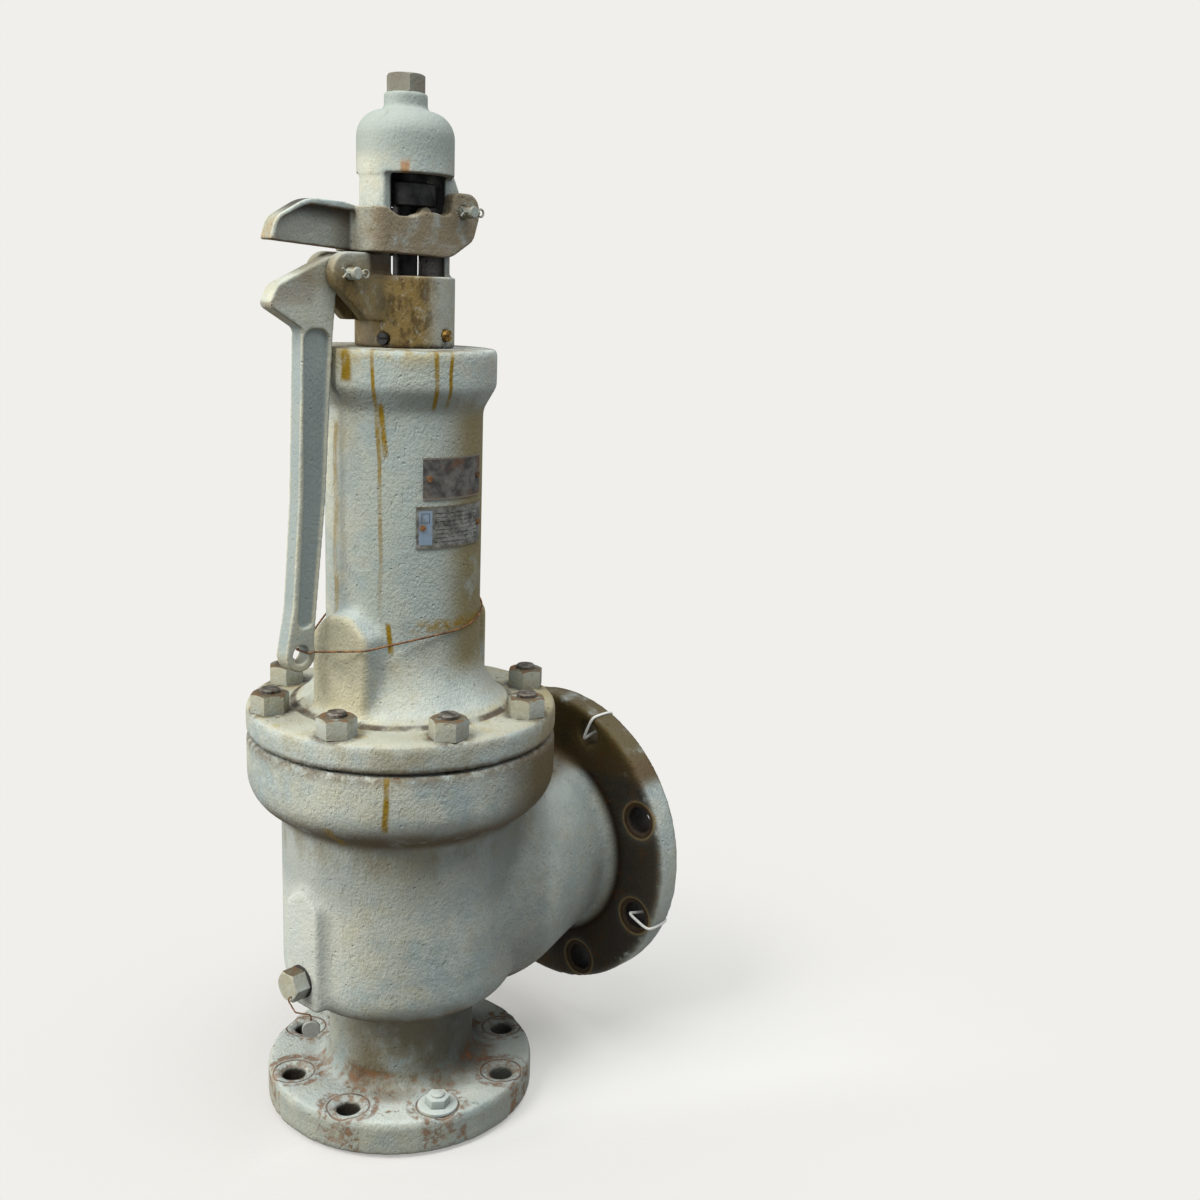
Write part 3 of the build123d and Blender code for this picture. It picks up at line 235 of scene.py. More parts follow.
class Finish:
    """One material, built node by node on the piece's own coordinates."""

    def __init__(self, name):
        self.material = bpy.data.materials.new(name)
        self.material.use_nodes = True
        self.tree = self.material.node_tree
        self.tree.nodes.clear()
        self.surface = self.tree.nodes.new("ShaderNodeBsdfPrincipled")
        self.out = self.tree.nodes.new("ShaderNodeOutputMaterial")
        self.tree.links.new(self.surface.outputs[0], self.out.inputs["Surface"])
        self.place = self.node("ShaderNodeTexCoord", output="Object")
        self.x, self.y, self.z = self.axes(self.place)
        outward = self.node("ShaderNodeTexCoord", output="Normal")
        self.facing_x, self.facing_y, self.facing_z = self.axes(outward)
        self.bare = 0.0

    def axes(self, vector):
        split = self.tree.nodes.new("ShaderNodeSeparateXYZ")
        self.tree.links.new(vector.socket, split.inputs[0])
        return [Value(self.tree, socket) for socket in split.outputs]

    def node(self, kind, settings=None, inputs=None, output=0):
        made = self.tree.nodes.new(kind)
        for key, value in (settings or {}).items():
            setattr(made, key, value)
        for key, value in (inputs or {}).items():
            if isinstance(value, Value):
                self.tree.links.new(value.socket, made.inputs[key])
            else:
                made.inputs[key].default_value = value
        return Value(self.tree, made.outputs[output])

    def noise(self, scale, detail=2.0, roughness=0.5, stretch=(1, 1, 1), shift=0.0):
        """Noise from 0 to 1; scale is in waves per metre."""
        moved = self.node(
            "ShaderNodeMapping",
            inputs={"Vector": self.place, "Scale": stretch, "Location": (shift, shift, shift)},
        )
        return self.node(
            "ShaderNodeTexNoise",
            inputs={"Vector": moved, "Scale": scale, "Detail": detail, "Roughness": roughness},
        )

    def cells(self, scale):
        """Distance from the nearest of scattered points; scale is in points per metre."""
        return self.node("ShaderNodeTexVoronoi", inputs={"Vector": self.place, "Scale": scale})

    def rise(self, value, low, high):
        """0 at low and 1 at high, smooth between and level beyond; high may be the smaller."""
        return self.node(
            "ShaderNodeMapRange",
            {"interpolation_type": "SMOOTHSTEP", "clamp": True},
            {"Value": value, "From Min": low, "From Max": high, "To Min": 0.0, "To Max": 1.0},
        )

    def band(self, value, low, high, soft):
        """1 between low and high, with soft ends."""
        return self.rise(value, low - soft, low + soft) * self.rise(value, high + soft, high - soft)

    def mix(self, factor, first, second):
        return self.node(
            "ShaderNodeMix",
            {"data_type": "RGBA", "clamp_factor": True},
            {0: factor, 6: first, 7: second},
            2,
        )

    def set(self, **inputs):
        for key, value in inputs.items():
            place = self.surface.inputs[key.replace("_", " ")]
            if isinstance(value, Value):
                self.tree.links.new(value.socket, place)
            else:
                place.default_value = value

    def bump(self, height, distance):
        bumped = self.node("ShaderNodeBump", inputs={"Height": height, "Distance": distance})
        self.set(Normal=bumped)

    def reach(self):
        """Distance from the valve axis."""
        return (self.x * self.x + self.y * self.y).root()

    def rightward(self):
        """How far to the camera's right of the valve axis."""
        return self.x * RIGHT_X + self.y * RIGHT_Y

    def away(self):
        """How far beyond the valve axis, seen from the camera."""
        return self.y * RIGHT_X - self.x * RIGHT_Y

    def hole_distance(self, across, up, circle):
        """Distance from the nearest of eight holes that straddle the centre lines of a flange."""
        reach = (across * across + up * up).root()
        angle = across.maths("ARCTAN2", up, across)
        step = math.pi / 8
        folded = across.maths("PINGPONG", angle + (4 * math.pi - step), step)
        side = reach * folded.maths("SINE", folded)
        along = reach * folded.maths("COSINE", folded) - circle
        return (side * side + along * along).root()

    def streak(self, angle, half_width, top, bottom, lean=0.0, shift=0.0):
        """A run of stain down the side of a round body, at an angle round the valve axis."""
        turn = math.radians(angle)
        out = self.x * math.cos(turn) + self.y * math.sin(turn)
        wander = (self.noise(14, 1, 0.5, (0.01, 0.01, 1), shift) - 0.5) * 0.012
        drift = (top - self.z) * lean
        aside = abs(self.y * math.cos(turn) - self.x * math.sin(turn) - wander - drift)
        ragged = half_width * (self.noise(60, 2, 0.6, (1, 1, 0.3), shift + 3) + 0.45)
        patchy = self.rise(self.noise(75, 3, 0.6, (1, 1, 0.5), shift + 9), 0.34, 0.6) * 0.6 + 0.4
        body = self.rise(aside / ragged, 1.0, 0.35) * self.rise(out, 0.0, 0.01) * patchy
        return body * self.band(self.z, bottom, top, 0.003)

    def runs(self, *streaks):
        """Several streaks as one mask."""
        made = [self.streak(*numbers) for numbers in streaks]
        together = made[0]
        for streak in made[1:]:
            together = together.most(streak)
        return together

    def stain(self, where, colour):
        """Lays a colour over the tone so far, as far as the mask goes."""
        self.tone = self.mix(where, self.tone, colour)

    def corrode(self, where):
        """Adds a mask to the rust so far."""
        self.rust = self.rust.most(where)

    def specks(self, low, high):
        return self.rise(self.fine, low, high)

    def patches(self, low, high):
        return self.rise(self.middle, low, high)

    def mottles(self, low, high):
        """Specks and patches together."""
        return self.rise(self.middle * 0.5 + self.fine * 0.5, low, high)


def painted(name, marks=None, grain=0.0018, dirt=1.0, worn=0.5):
    """Thick grey paint over a rough casting, with a warm film on the lever side and rusty spots.

    The marks add a piece's own stains, grain is the depth of the surface, and dirt and worn are
    how much grime and rust there is.
    """
    paint = bpy.context.scene.valve_paint
    finish = Finish(name)
    broad = finish.noise(9, 3, 0.55)
    finish.middle = finish.noise(34, 4, 0.6, shift=1.7)
    finish.fine = finish.noise(130, 4, 0.62, shift=4.1)
    lumps = finish.noise(430, 3, 0.62, (1, 1, 0.8), shift=7.7)
    dents = finish.noise(120, 3, 0.6, (1, 1, 0.45), shift=17.3)
    pits = finish.cells(95)

    faded = finish.rise(broad * 0.6 + finish.middle * 0.4, 0.38, 0.62)
    finish.tone = finish.mix(faded, paint.cool, paint.colour)
    finish.stain(finish.specks(0.35, 0.8) * 0.35, paint.light)
    warm_side = finish.rise(finish.facing_x, 0.35, -0.95)
    filmed = finish.rise(finish.middle + broad * 0.5, 0.45, 1.0)
    finish.stain(warm_side * filmed * 0.42 * dirt, paint.film)
    # Painted shade: faces turned away from the key lamp take on the cooler paint.
    shadow_side = finish.rise(finish.facing_y * 0.6 + finish.facing_x, 0.1, 1.1)
    finish.stain(shadow_side * 0.35, paint.cool)
    # Grime and painted shade together: faces turned away from the key lamp are darkened in patches
    # with the grime colour.
    grime_and_shade_side = finish.rise(finish.facing_x - finish.facing_y * 0.5, 0.35, 1.05)
    grimy = finish.rise(finish.fine + finish.middle, 0.7, 1.1)
    finish.stain(grime_and_shade_side * grimy * 0.5 * dirt, paint.grime)
    clouds = finish.rise(finish.noise(22, 5, 0.65, shift=9.3), 0.56, 0.78)
    finish.stain(clouds * 0.34 * dirt, paint.grime)
    hollows = finish.rise(lumps, 0.44, 0.30) * finish.patches(0.3, 0.6)
    finish.stain(hollows * 0.4 * dirt, paint.grime)
    crisp = finish.rise(finish.noise(52, 6, 0.75, shift=27.0), 0.52, 0.60)
    finish.stain(crisp * 0.22 * dirt, CHALKY_STAIN)
    underside = finish.rise(finish.facing_z, -0.1, -0.8)
    finish.stain(underside * finish.patches(0.25, 0.6) * 0.75, paint.underside)
    topside = finish.rise(finish.facing_z, 0.6, 0.9)
    # Painted highlight: faces turned upwards are lightened towards the light paint.
    finish.stain(topside * 0.35, paint.light)
    spots = finish.rise(finish.noise(75, 5, 0.7, shift=12.9), 0.60, 0.69)
    flecks = finish.rise(finish.noise(330, 2, 0.6, shift=15.1), 0.70, 0.76)
    finish.rust = (spots * (topside * 0.9 + 0.12) * worn).most(flecks * 0.55 * worn)

    if marks is not None:
        marks(finish)

    rust_tone = finish.mix(finish.specks(0.3, 0.7), paint.rust_dark, paint.rust)
    finish.stain(finish.rust, rust_tone)
    height = lumps * 0.62 + finish.fine * 0.3 + finish.rise(dents, 0.36, 0.30) * -0.22
    height = height - finish.rise(pits, 0.13, 0.03) * 0.4 - finish.rust * 0.3
    finish.bump(height, grain)
    roughness = 0.48 + finish.middle * 0.16 + finish.rust * 0.3 + finish.bare * 0.3
    finish.set(Base_Color=finish.tone, Roughness=roughness, Metallic=finish.bare)
    finish.set(Specular_IOR_Level=0.22)
    return finish.material


def metal(name, light, dark, roughness=0.38, scale=60.0, metallic=0.85, stain=None):
    """Turned or forged steel with faint tool marks and mottled tarnish."""
    finish = Finish(name)
    mottle = finish.noise(scale, 4, 0.6)
    rings = finish.noise(900, 2, 0.5, (0.05, 0.05, 1.0))
    finish.tone = finish.mix(finish.rise(mottle, 0.3, 0.7), dark, light)
    if stain is not None:
        finish.stain(finish.rise(finish.noise(scale * 1.7, 5, 0.7, shift=5.0), 0.52, 0.66), stain)
    finish.bump(rings * 0.4 + mottle * 0.6, 0.00025)
    finish.set(Base_Color=finish.tone, Roughness=roughness + mottle * 0.2, Metallic=metallic)
    return finish.material


def speckled(name, scale, dark, light, roughness, depth):
    """A dull face mottled between two colours, such as sheet gasket or lead."""
    finish = Finish(name)
    mottle = finish.noise(scale, 3, 0.6)
    finish.set(Base_Color=finish.mix(mottle, dark, light), Roughness=roughness)
    finish.bump(mottle, depth)
    return finish.material


def deselect():
    bpy.ops.object.select_all(action="DESELECT")


def take(piece):
    """Makes a piece the one that the next operators act on."""
    deselect()
    piece.select_set(True)
    bpy.context.view_layer.objects.active = piece


def copied(node, name):
    """A separate copy of a CAD node's mesh with its triangles merged."""
    piece = bpy.data.objects.new(name, frame["nodes"][node].data.copy())
    bpy.context.scene.collection.objects.link(piece)
    piece.data.materials.clear()
    take(piece)
    bpy.ops.object.mode_set(mode="EDIT")
    bpy.ops.mesh.select_all(action="SELECT")
    bpy.ops.mesh.remove_doubles(threshold=0.00001)
    bpy.ops.object.mode_set(mode="OBJECT")
    return piece


def apply_all(piece):
    take(piece)
    for modifier in list(piece.modifiers):
        bpy.ops.object.modifier_apply(modifier=modifier.name)


def cast(node, voxel):
    """Stands for a CAD casting: the same form with softly rounded edges, as moulding leaves."""
    piece = copied(node, "body_casting" if node == "valve_body" else node + "_casting")
    remesh = piece.modifiers.new("sand", "REMESH")
    remesh.mode = "VOXEL"
    remesh.voxel_size = voxel
    smooth = piece.modifiers.new("fettle", "SMOOTH")
    smooth.factor = 0.5
    smooth.iterations = bpy.context.scene.valve_casting.passes
    apply_all(piece)
    bpy.ops.object.shade_smooth()
    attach(piece, frame["nodes"][node]["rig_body"])
    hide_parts(node)
    return piece


def coat(piece, material):
    piece.data.materials.clear()
    piece.data.materials.append(material)


def coat_nodes(material, *names):
    for name in names:
        coat(frame["nodes"][name], material)


def colour_setting(name, description, colour):
    return FloatVectorProperty(
        name=name, description=description, subtype="COLOR", size=4, default=shade(*colour)
    )


def length_setting(name, description, metres):
    return FloatProperty(
        name=name, description=description, subtype="DISTANCE", unit="LENGTH", default=metres
    )


def angle_setting(name, description, degrees):
    return FloatProperty(
        name=name,
        description=description,
        subtype="ANGLE",
        unit="ROTATION",
        default=math.radians(degrees),
    )


def power_setting(name, description, watts):
    return FloatProperty(name=name, description=description, unit="POWER", default=watts)


class ValvePaint(bpy.types.PropertyGroup):
    colour: colour_setting("Paint", "Main paint colour", (160, 168, 163))
    # The cool paint also serves as painted shade on faces turned from the key lamp.
    cool: colour_setting("Cool paint", "Paint in its cooler patches", (132, 144, 143))
    # The light paint also serves as painted highlight on tops and as painted light on the bowl's
    # left.
    light: colour_setting("Light paint", "Fresh, chalky paint", (186, 191, 184))
    film: colour_setting("Film", "Warm film on the lever side", (168, 158, 122))
    grime: colour_setting("Grime", "Brownish grime", (112, 103, 78))
    underside: colour_setting("Underside", "Dirt on undersides", (82, 68, 46))
    rust: colour_setting("Rust", "Brown rust", (112, 74, 40))
    rust_dark: colour_setting("Dark rust", "Dark rust", (46, 32, 22))
    ochre: colour_setting("Ochre", "Ochre runs", (120, 96, 12))


class ValveCasting(bpy.types.PropertyGroup):
    body_grid: length_setting("Body grid", "Mesh size of the body and bonnet", 0.0031)
    fine_grid: length_setting("Fine grid", "Mesh size of the cap; the levers are finer", 0.0011)
    passes: IntProperty(name="Passes", description="Rounds of smoothing of the edges", default=4)


class ValveCamera(bpy.types.PropertyGroup):
    distance: length_setting("Distance", "From the valve axis", 1.10292)
    height: length_setting("Height", "Above the inlet face", 0.68947)
    azimuth: angle_setting("Azimuth", "Round the valve axis", -40.79)
    yaw: angle_setting("Yaw", "Turn to the right", 8.39)
    pitch: angle_setting("Pitch", "Tilt up", -12.70)
    roll: angle_setting("Roll", "Turn about the view line", 2.14)
    lens: FloatProperty(name="Lens", description="Focal length on a 36 mm sensor", default=41.004)


class ValveStage(bpy.types.PropertyGroup):
    backdrop: colour_setting("Backdrop", "Colour behind the valve", (240, 239, 235))
    floor: colour_setting("Floor", "Colour of the floor", (206, 205, 202))
    ambient: FloatProperty(
        name="Ambient", description="Strength of the surrounding light", default=0.40
    )
    key: power_setting("Key", "Power of the main lamp", 60.0)
    side: power_setting("Side", "Power of the lamp behind on the left", 29.0)
    right: power_setting("Right", "Power of the weak lamp on the right", 18.0)
    fill: power_setting("Fill", "Power of the top lamp", 36.0)


def turned(first, second, angle):
    """Two square directions after a turn of the first towards the second."""
    return (
        first * math.cos(angle) + second * math.sin(angle),
        second * math.cos(angle) - first * math.sin(angle),
    )


class VALVE_OT_camera(bpy.types.Operator):
    """Places the camera where the valve was seen from"""

    bl_idname = "valve.camera"
    bl_label = "Camera"

    def execute(self, context):
        eye = context.scene.valve_camera
        ahead = Vector((-math.sin(eye.azimuth), math.cos(eye.azimuth), 0))
        right = Vector((math.cos(eye.azimuth), math.sin(eye.azimuth), 0))
        up = Vector((0, 0, 1))
        spot = Vector(
            (
                eye.distance * math.sin(eye.azimuth),
                -eye.distance * math.cos(eye.azimuth),
                eye.height,
            )
        )
        ahead, right = turned(ahead, right, eye.yaw)
        ahead, up = turned(ahead, up, eye.pitch)
        right, up = turned(right, up, eye.roll)
        lens = bpy.data.cameras.new("viewpoint")
        lens.lens = eye.lens
        lens.sensor_width = 36
        lens.clip_start = 0.01
        lens.clip_end = 50
        camera = bpy.data.objects.new("viewpoint", lens)
        context.scene.collection.objects.link(camera)
        facing = Matrix((right, up, -ahead)).transposed().to_4x4()
        camera.matrix_world = Matrix.Translation(spot) @ facing
        context.scene.camera = camera
        return {"FINISHED"}


class VALVE_OT_stage(bpy.types.Operator):
    """Lays the floor and hangs the lamps"""

    bl_idname = "valve.stage"
    bl_label = "Stage"

    def lamp(self, context, name, spot, height, size, power, colour):
        """A round lamp that points at a height on the valve axis."""
        light = bpy.data.lights.new(name, "AREA")
        light.shape = "DISK"
        light.size = size
        light.energy = power
        light.color = colour
        holder = bpy.data.objects.new(name, light)
        context.scene.collection.objects.link(holder)
        holder.location = spot
        aim = Vector((0, 0, height)) - Vector(spot)
        holder.rotation_euler = aim.to_track_quat("-Z", "Y").to_euler()

    def floor_paper(self, stage):
        """Paper that takes the shadow and clears further out, so that the backdrop shows."""
        finish = Finish("floor_paper")
        grain = finish.noise(240, 2, 0.5)
        paper = finish.mix(grain * 0.15, stage.floor, shade(198, 197, 194))
        # Painted shade: the paper is darker towards the camera and the camera's left, near the key
        # lamp, to even out the lamp's brighter pool; the same mask clears the paper sooner.
        leftward = finish.rise(finish.rightward(), 0.02, -0.16)
        forward = finish.rise(finish.away(), 0.0, -0.16)
        nearer = leftward.most(forward)
        finish.set(Base_Color=finish.mix(nearer, paper, shade(176, 175, 172)), Roughness=0.9)
        finish.set(Specular_IOR_Level=0.1)
        cleared = finish.rise(finish.reach() + nearer * 0.3, 0.24, 0.72)
        blended = finish.node(
            "ShaderNodeMixShader",
            inputs={
                0: 0.38 + cleared * 0.62,
                1: Value(finish.tree, finish.surface.outputs[0]),
                2: finish.node("ShaderNodeBsdfTransparent"),
            },
        )
        finish.tree.links.new(blended.socket, finish.out.inputs["Surface"])
        return finish.material

    def surround(self, context, stage):
        """Shows the backdrop to the camera and lights the valve with a weaker sky."""
        world = bpy.data.worlds.new("surroundings")
        world.use_nodes = True
        tree = world.node_tree
        tree.nodes.clear()
        seen = tree.nodes.new("ShaderNodeBackground")
        seen.inputs["Color"].default_value = stage.backdrop
        lit = tree.nodes.new("ShaderNodeBackground")
        lit.inputs["Color"].default_value = (0.96, 0.98, 1.0, 1.0)
        lit.inputs["Strength"].default_value = stage.ambient
        path = tree.nodes.new("ShaderNodeLightPath")
        straight = Value(tree, path.outputs["Is Camera Ray"])
        through = Value(tree, path.outputs["Is Transmission Ray"])
        pick = tree.nodes.new("ShaderNodeMixShader")
        tree.links.new(straight.most(through).socket, pick.inputs[0])
        tree.links.new(lit.outputs[0], pick.inputs[1])
        tree.links.new(seen.outputs[0], pick.inputs[2])
        out = tree.nodes.new("ShaderNodeOutputWorld")
        tree.links.new(pick.outputs[0], out.inputs["Surface"])
        context.scene.world = world
        context.scene.view_settings.view_transform = "Standard"

    def execute(self, context):
        stage = context.scene.valve_stage
        deselect()
        bpy.ops.mesh.primitive_circle_add(
            vertices=96, radius=3.2, fill_type="NGON", location=(0, 0, -0.0006)
        )
        floor = context.active_object
        floor.name = "floor"
        bpy.ops.object.transform_apply(location=True, rotation=True, scale=True)
        coat(floor, self.floor_paper(stage))
        self.surround(context, stage)
        for name, spot, height, size, power, colour in (
            ("key", (-1.65, 0.0, 2.1), 0.40, 1.1, stage.key, (1.0, 0.99, 0.97)),
            ("side", (-1.5, 1.3, 0.9), 0.35, 0.9, stage.side, (1.0, 0.97, 0.92)),
            ("right", (1.3, -1.3, 2.3), 0.45, 1.2, stage.right, (0.96, 0.98, 1.0)),
            ("top", (-0.2, -0.6, 2.5), 0.3, 1.5, stage.fill, (0.97, 0.985, 1.0)),
        ):
            self.lamp(context, name, spot, height, size, power, colour)
        return {"FINISHED"}


def bolt_marks(finish):
    """Stains of the bolting: brown film, and dirty rust on the tops."""
    top = finish.rise(finish.facing_z, 0.5, 0.9)
    finish.stain(finish.mottles(0.36, 0.56) * 0.35, bpy.context.scene.valve_paint.grime)
    finish.stain(top * finish.specks(0.2, 0.45) * 0.95, NUT_TOP)
    finish.corrode(top * finish.specks(0.46, 0.6) * 0.7)


def cap_bolt_marks(finish):
    """Stains of the cap bolt: an even brownish film."""
    finish.stain(finish.patches(0.2, 0.6) * 0.3 + 0.65, CAP_BOLT_FILM)


def outlet_flange_marks(finish):
    """The outlet flange's back, bare and brown, with a ring and painted shade inside each bolt
    hole.
    """
    level = finish.z - OUTLET_HEIGHT
    reach = (finish.y * finish.y + level * level).root()
    back = finish.band(finish.x, 0.166, 0.1825, 0.004) * finish.rise(reach, 0.084, 0.094)
    ragged = finish.middle * 0.5 + finish.fine * 0.5 + (0.134 - reach) * 7
    bare = back * finish.rise(ragged, 0.28, 0.46)
    finish.stain(bare, BARE_BROWN)
    finish.bare = bare
    rusty = finish.rise(finish.fine * 0.6 + finish.middle * 0.4, 0.52, 0.66)
    finish.rust = (finish.rust * (1 - bare)).most(bare * rusty * 0.5)
    hole = finish.hole_distance(finish.y, level, OUTLET_BOLT_CIRCLE)
    beside = finish.rise(finish.x, 0.165, 0.17)
    # Painted shade: the walls inside the outlet bolt holes are painted near black.
    inside = finish.rise(hole, 0.0132, 0.0112) * beside
    finish.stain(finish.rise(hole, 0.0172, 0.0165) * beside * 0.8, SEAT_BROWN)
    finish.stain(finish.band(hole, 0.0165, 0.0185, 0.0006) * beside * 0.85, SEAT_RING)
    finish.rust = finish.rust * (1 - inside)
    finish.stain(inside, OUTLET_HOLE_SHADE)


def inlet_flange_marks(finish):
    """The inlet flange's bolt holes, with rust on and round their seats and painted shade inside
    them.
    """
    low = finish.rise(finish.z, 0.036, 0.033)
    hole = finish.hole_distance(finish.x, finish.y, INLET_BOLT_CIRCLE)
    # Painted shade: the walls inside the inlet bolt holes are painted dark.
    inside = finish.rise(hole, 0.0108, 0.0092) * low
    seat = finish.band(hole, 0.0095, 0.0175, 0.0012) * low
    rim = finish.band(hole, 0.0165, 0.0182, 0.0005) * low
    finish.corrode(seat * finish.specks(0.42, 0.62) * 0.7)
    finish.corrode(rim * 0.8)
    finish.stain(inside, INLET_HOLE_SHADE)
    finish.rust = finish.rust * (1 - inside)
    edge = finish.band(hole, 0.0185, 0.026, 0.002) * low
    speckled_edge = finish.rise(finish.middle * 0.4 + finish.fine * 0.6, 0.46, 0.58)
    finish.corrode(edge * speckled_edge * 0.8)


def body_marks(finish):
    """Stains of the body: both flanges, a dirty neck, brown under the curl and ochre runs; painted
    shade and light.
    """
    paint = bpy.context.scene.valve_paint
    z = finish.z
    outlet_flange_marks(finish)
    inlet_flange_marks(finish)
    reach = finish.reach()
    right = finish.rightward()

    neck = finish.band(z, 0.028, 0.098, 0.008) * finish.rise(reach, 0.09, 0.07)
    dirty = neck * finish.patches(0.2, 0.56) * finish.rise(right, -0.058, -0.025)
    finish.stain(dirty * 0.85, NECK_DIRT)
    rim = finish.rise(z, 0.028, 0.024) * finish.rise(reach, 0.108, 0.112)
    finish.stain(rim * 0.3, RIM_DIRT)
    lee_side = finish.rise(right, 0.060, 0.110) * finish.band(z, 0.264, 0.330, 0.008)
    finish.stain(lee_side * finish.patches(0.2, 0.46) * 0.95, FLANGE_SIDE_BROWN)
    # Painted light: the bowl's left, towards the key lamp, is lightened towards the light paint.
    lit = finish.rise(right, -0.020, -0.090) * finish.band(z, 0.115, 0.262, 0.015)
    finish.stain(lit * 0.6, paint.light)
    # Painted shade: the inlet flange top on the camera's right is darkened.
    shaded_flange_top = finish.rise(right, 0.04, 0.09) * finish.rise(z, 0.036, 0.033)
    finish.stain(shaded_flange_top * 0.4, FLANGE_TOP_SHADE)
    # Painted shade: the bowl on the camera's right, away from the key lamp, is darkened.
    shaded_bowl_right = finish.rise(right, 0.045, 0.1) * finish.band(z, 0.12, 0.262, 0.02)
    finish.stain(shaded_bowl_right * finish.rise(reach, 0.135, 0.118) * 0.45, BOWL_RIGHT_SHADE)
    # Painted shade: the bowl just under the body flange's overhang is darkened.
    overhang_shade = finish.band(z, 0.205, 0.262, 0.02) * finish.rise(reach, 0.108, 0.101)
    finish.stain(overhang_shade * 0.35, UNDER_FLANGE_SHADE)
    lee = finish.rise(finish.facing_x - finish.facing_y * 0.4, -0.3, 0.6)
    finish.stain(neck * lee * 0.7, NECK_SHADOW)
    foot = finish.band(z, 0.030, 0.048, 0.006) * finish.rise(reach, 0.094, 0.075)
    finish.corrode(foot * finish.mottles(0.44, 0.6) * 0.8)
    joint = finish.rise(z, 0.318, 0.329) * finish.rise(reach, 0.118, 0.125)
    finish.stain(joint * finish.specks(0.3, 0.6) * 0.8, paint.underside)
    curl = finish.band(z, 0.261, 0.279, 0.007) * finish.rise(reach, 0.098, 0.101)
    finish.stain(curl * finish.patches(0.22, 0.5) * 0.95, paint.underside)
    drip = finish.band(z, 0.238, 0.263, 0.014) * finish.rise(reach, 0.116, 0.108)
    wept = finish.rise(finish.noise(42, 5, 0.68, (1, 1, 0.35), 41.0), 0.42, 0.6)
    finish.stain(drip * wept * 0.5, WEPT_BROWN)
    bottom = finish.band(z, 0.094, 0.110, 0.007) * finish.rise(reach, 0.108, 0.100)
    finish.stain(bottom * finish.mottles(0.34, 0.56) * 0.9, paint.underside)
    runs = finish.runs(
        (-137, 0.0035, 0.329, 0.285, 0.0, 2.0),
        (-158, 0.006, 0.283, 0.262, 0.0, 6.0),
    )
    finish.stain(runs, paint.ochre)


def bonnet_marks(finish):
    """Stains of the bonnet: ochre runs from the collar, and dirt round the nuts."""
    paint = bpy.context.scene.valve_paint
    x, y, z = finish.x, finish.y, finish.z
    reach = finish.reach()
    right = finish.rightward()

    longest = finish.streak(-150, 0.0024, 0.642, 0.415, 0.02, 1.0) * finish.rise(z, 0.36, 0.62)
    runs = longest.most(
        finish.runs(
            (-168, 0.0075, 0.641, 0.618, 0.0, 5.5),
            (-141.5, 0.0034, 0.432, 0.408, 0.0, 13.0),
            (-146, 0.0032, 0.602, 0.560, 0.05, 7.0),
            (-112, 0.0024, 0.642, 0.598, 0.0, 3.0),
            (-101, 0.0026, 0.642, 0.600, 0.0, 8.0),
        )
    )
    runs = runs.most(finish.streak(172, 0.005, 0.585, 0.42, 0.0, 11.0) * 0.6)
    front = finish.band(right, -0.034, 0.036, 0.012) * finish.rise(z, 0.40, 0.44)
    finish.stain(front * 0.42, BONNET_COOL)
    collar = finish.rise(z, 0.622, 0.642) * finish.mottles(0.4, 0.56)
    finish.stain(collar * finish.rise(x, 0.02, -0.05) * 0.6, COLLAR_OCHRE)
    lee = finish.rise(right, 0.022, 0.052) * finish.band(z, 0.39, 0.60, 0.012)
    finish.stain(lee * finish.patches(0.2, 0.46) * 0.85, BONNET_OLIVE)
    end = finish.rise(right, 0.082, 0.125) * finish.rise(z, 0.3605, 0.3575)
    finish.stain(end * finish.mottles(0.3, 0.5) * 0.65, FLANGE_END_OCHRE)
    flat = finish.rise(finish.facing_z, 0.7, 0.95) * finish.band(z, 0.345, 0.375, 0.003)
    spill = finish.rise(finish.noise(38, 5, 0.7, shift=33.0), 0.48, 0.62)
    finish.stain(flat * spill * 0.6, SPILL_OCHRE)

    turn = math.radians(-80)
    ahead = x * math.cos(turn) + y * math.sin(turn)
    over_wire = finish.band(z, 0.424, 0.434, 0.004) * finish.rise(ahead, 0.03, 0.06)
    runs = runs.most(over_wire * finish.specks(0.3, 0.6) * 0.8)
    finish.stain(runs * 1.1, paint.ochre)

    flange = finish.rise(z, 0.366, 0.360) * finish.rise(z, 0.350, 0.3535)
    finish.stain(flange * finish.rise(finish.facing_z, 0.6, 0.9) * 0.5, FLANGE_TOP_FILM)
    nut = finish.rise(finish.hole_distance(x, y, STUD_CIRCLE), 0.023, 0.015) * flange
    finish.stain(nut * finish.specks(0.3, 0.55) * 0.7, paint.rust_dark)
    groove = finish.rise(abs(reach - 0.0895), 0.004, 0.0015) * flange
    finish.stain(groove * finish.patches(0.3, 0.55) * 0.85, paint.rust_dark)
    outer = finish.rise(reach, 0.12, 0.126)
    under = finish.rise(z, 0.3375, 0.3325) * outer
    finish.stain(under * finish.specks(0.3, 0.6) * 0.85, paint.underside)
    side = finish.band(z, 0.3325, 0.353, 0.002) * outer
    finish.stain(side * finish.patches(0.4, 0.68) * 0.5, paint.grime)
    across_pads = finish.rise(abs(x * 0.985 + y * 0.174), 0.072, 0.079)
    finish.stain(across_pads * finish.band(z, 0.36, 0.44, 0.004) * 0.55, paint.film)
    ledge = finish.rise(z, 0.6405, 0.6418)
    finish.stain(ledge * finish.patches(0.35, 0.6) * 0.7, paint.underside)


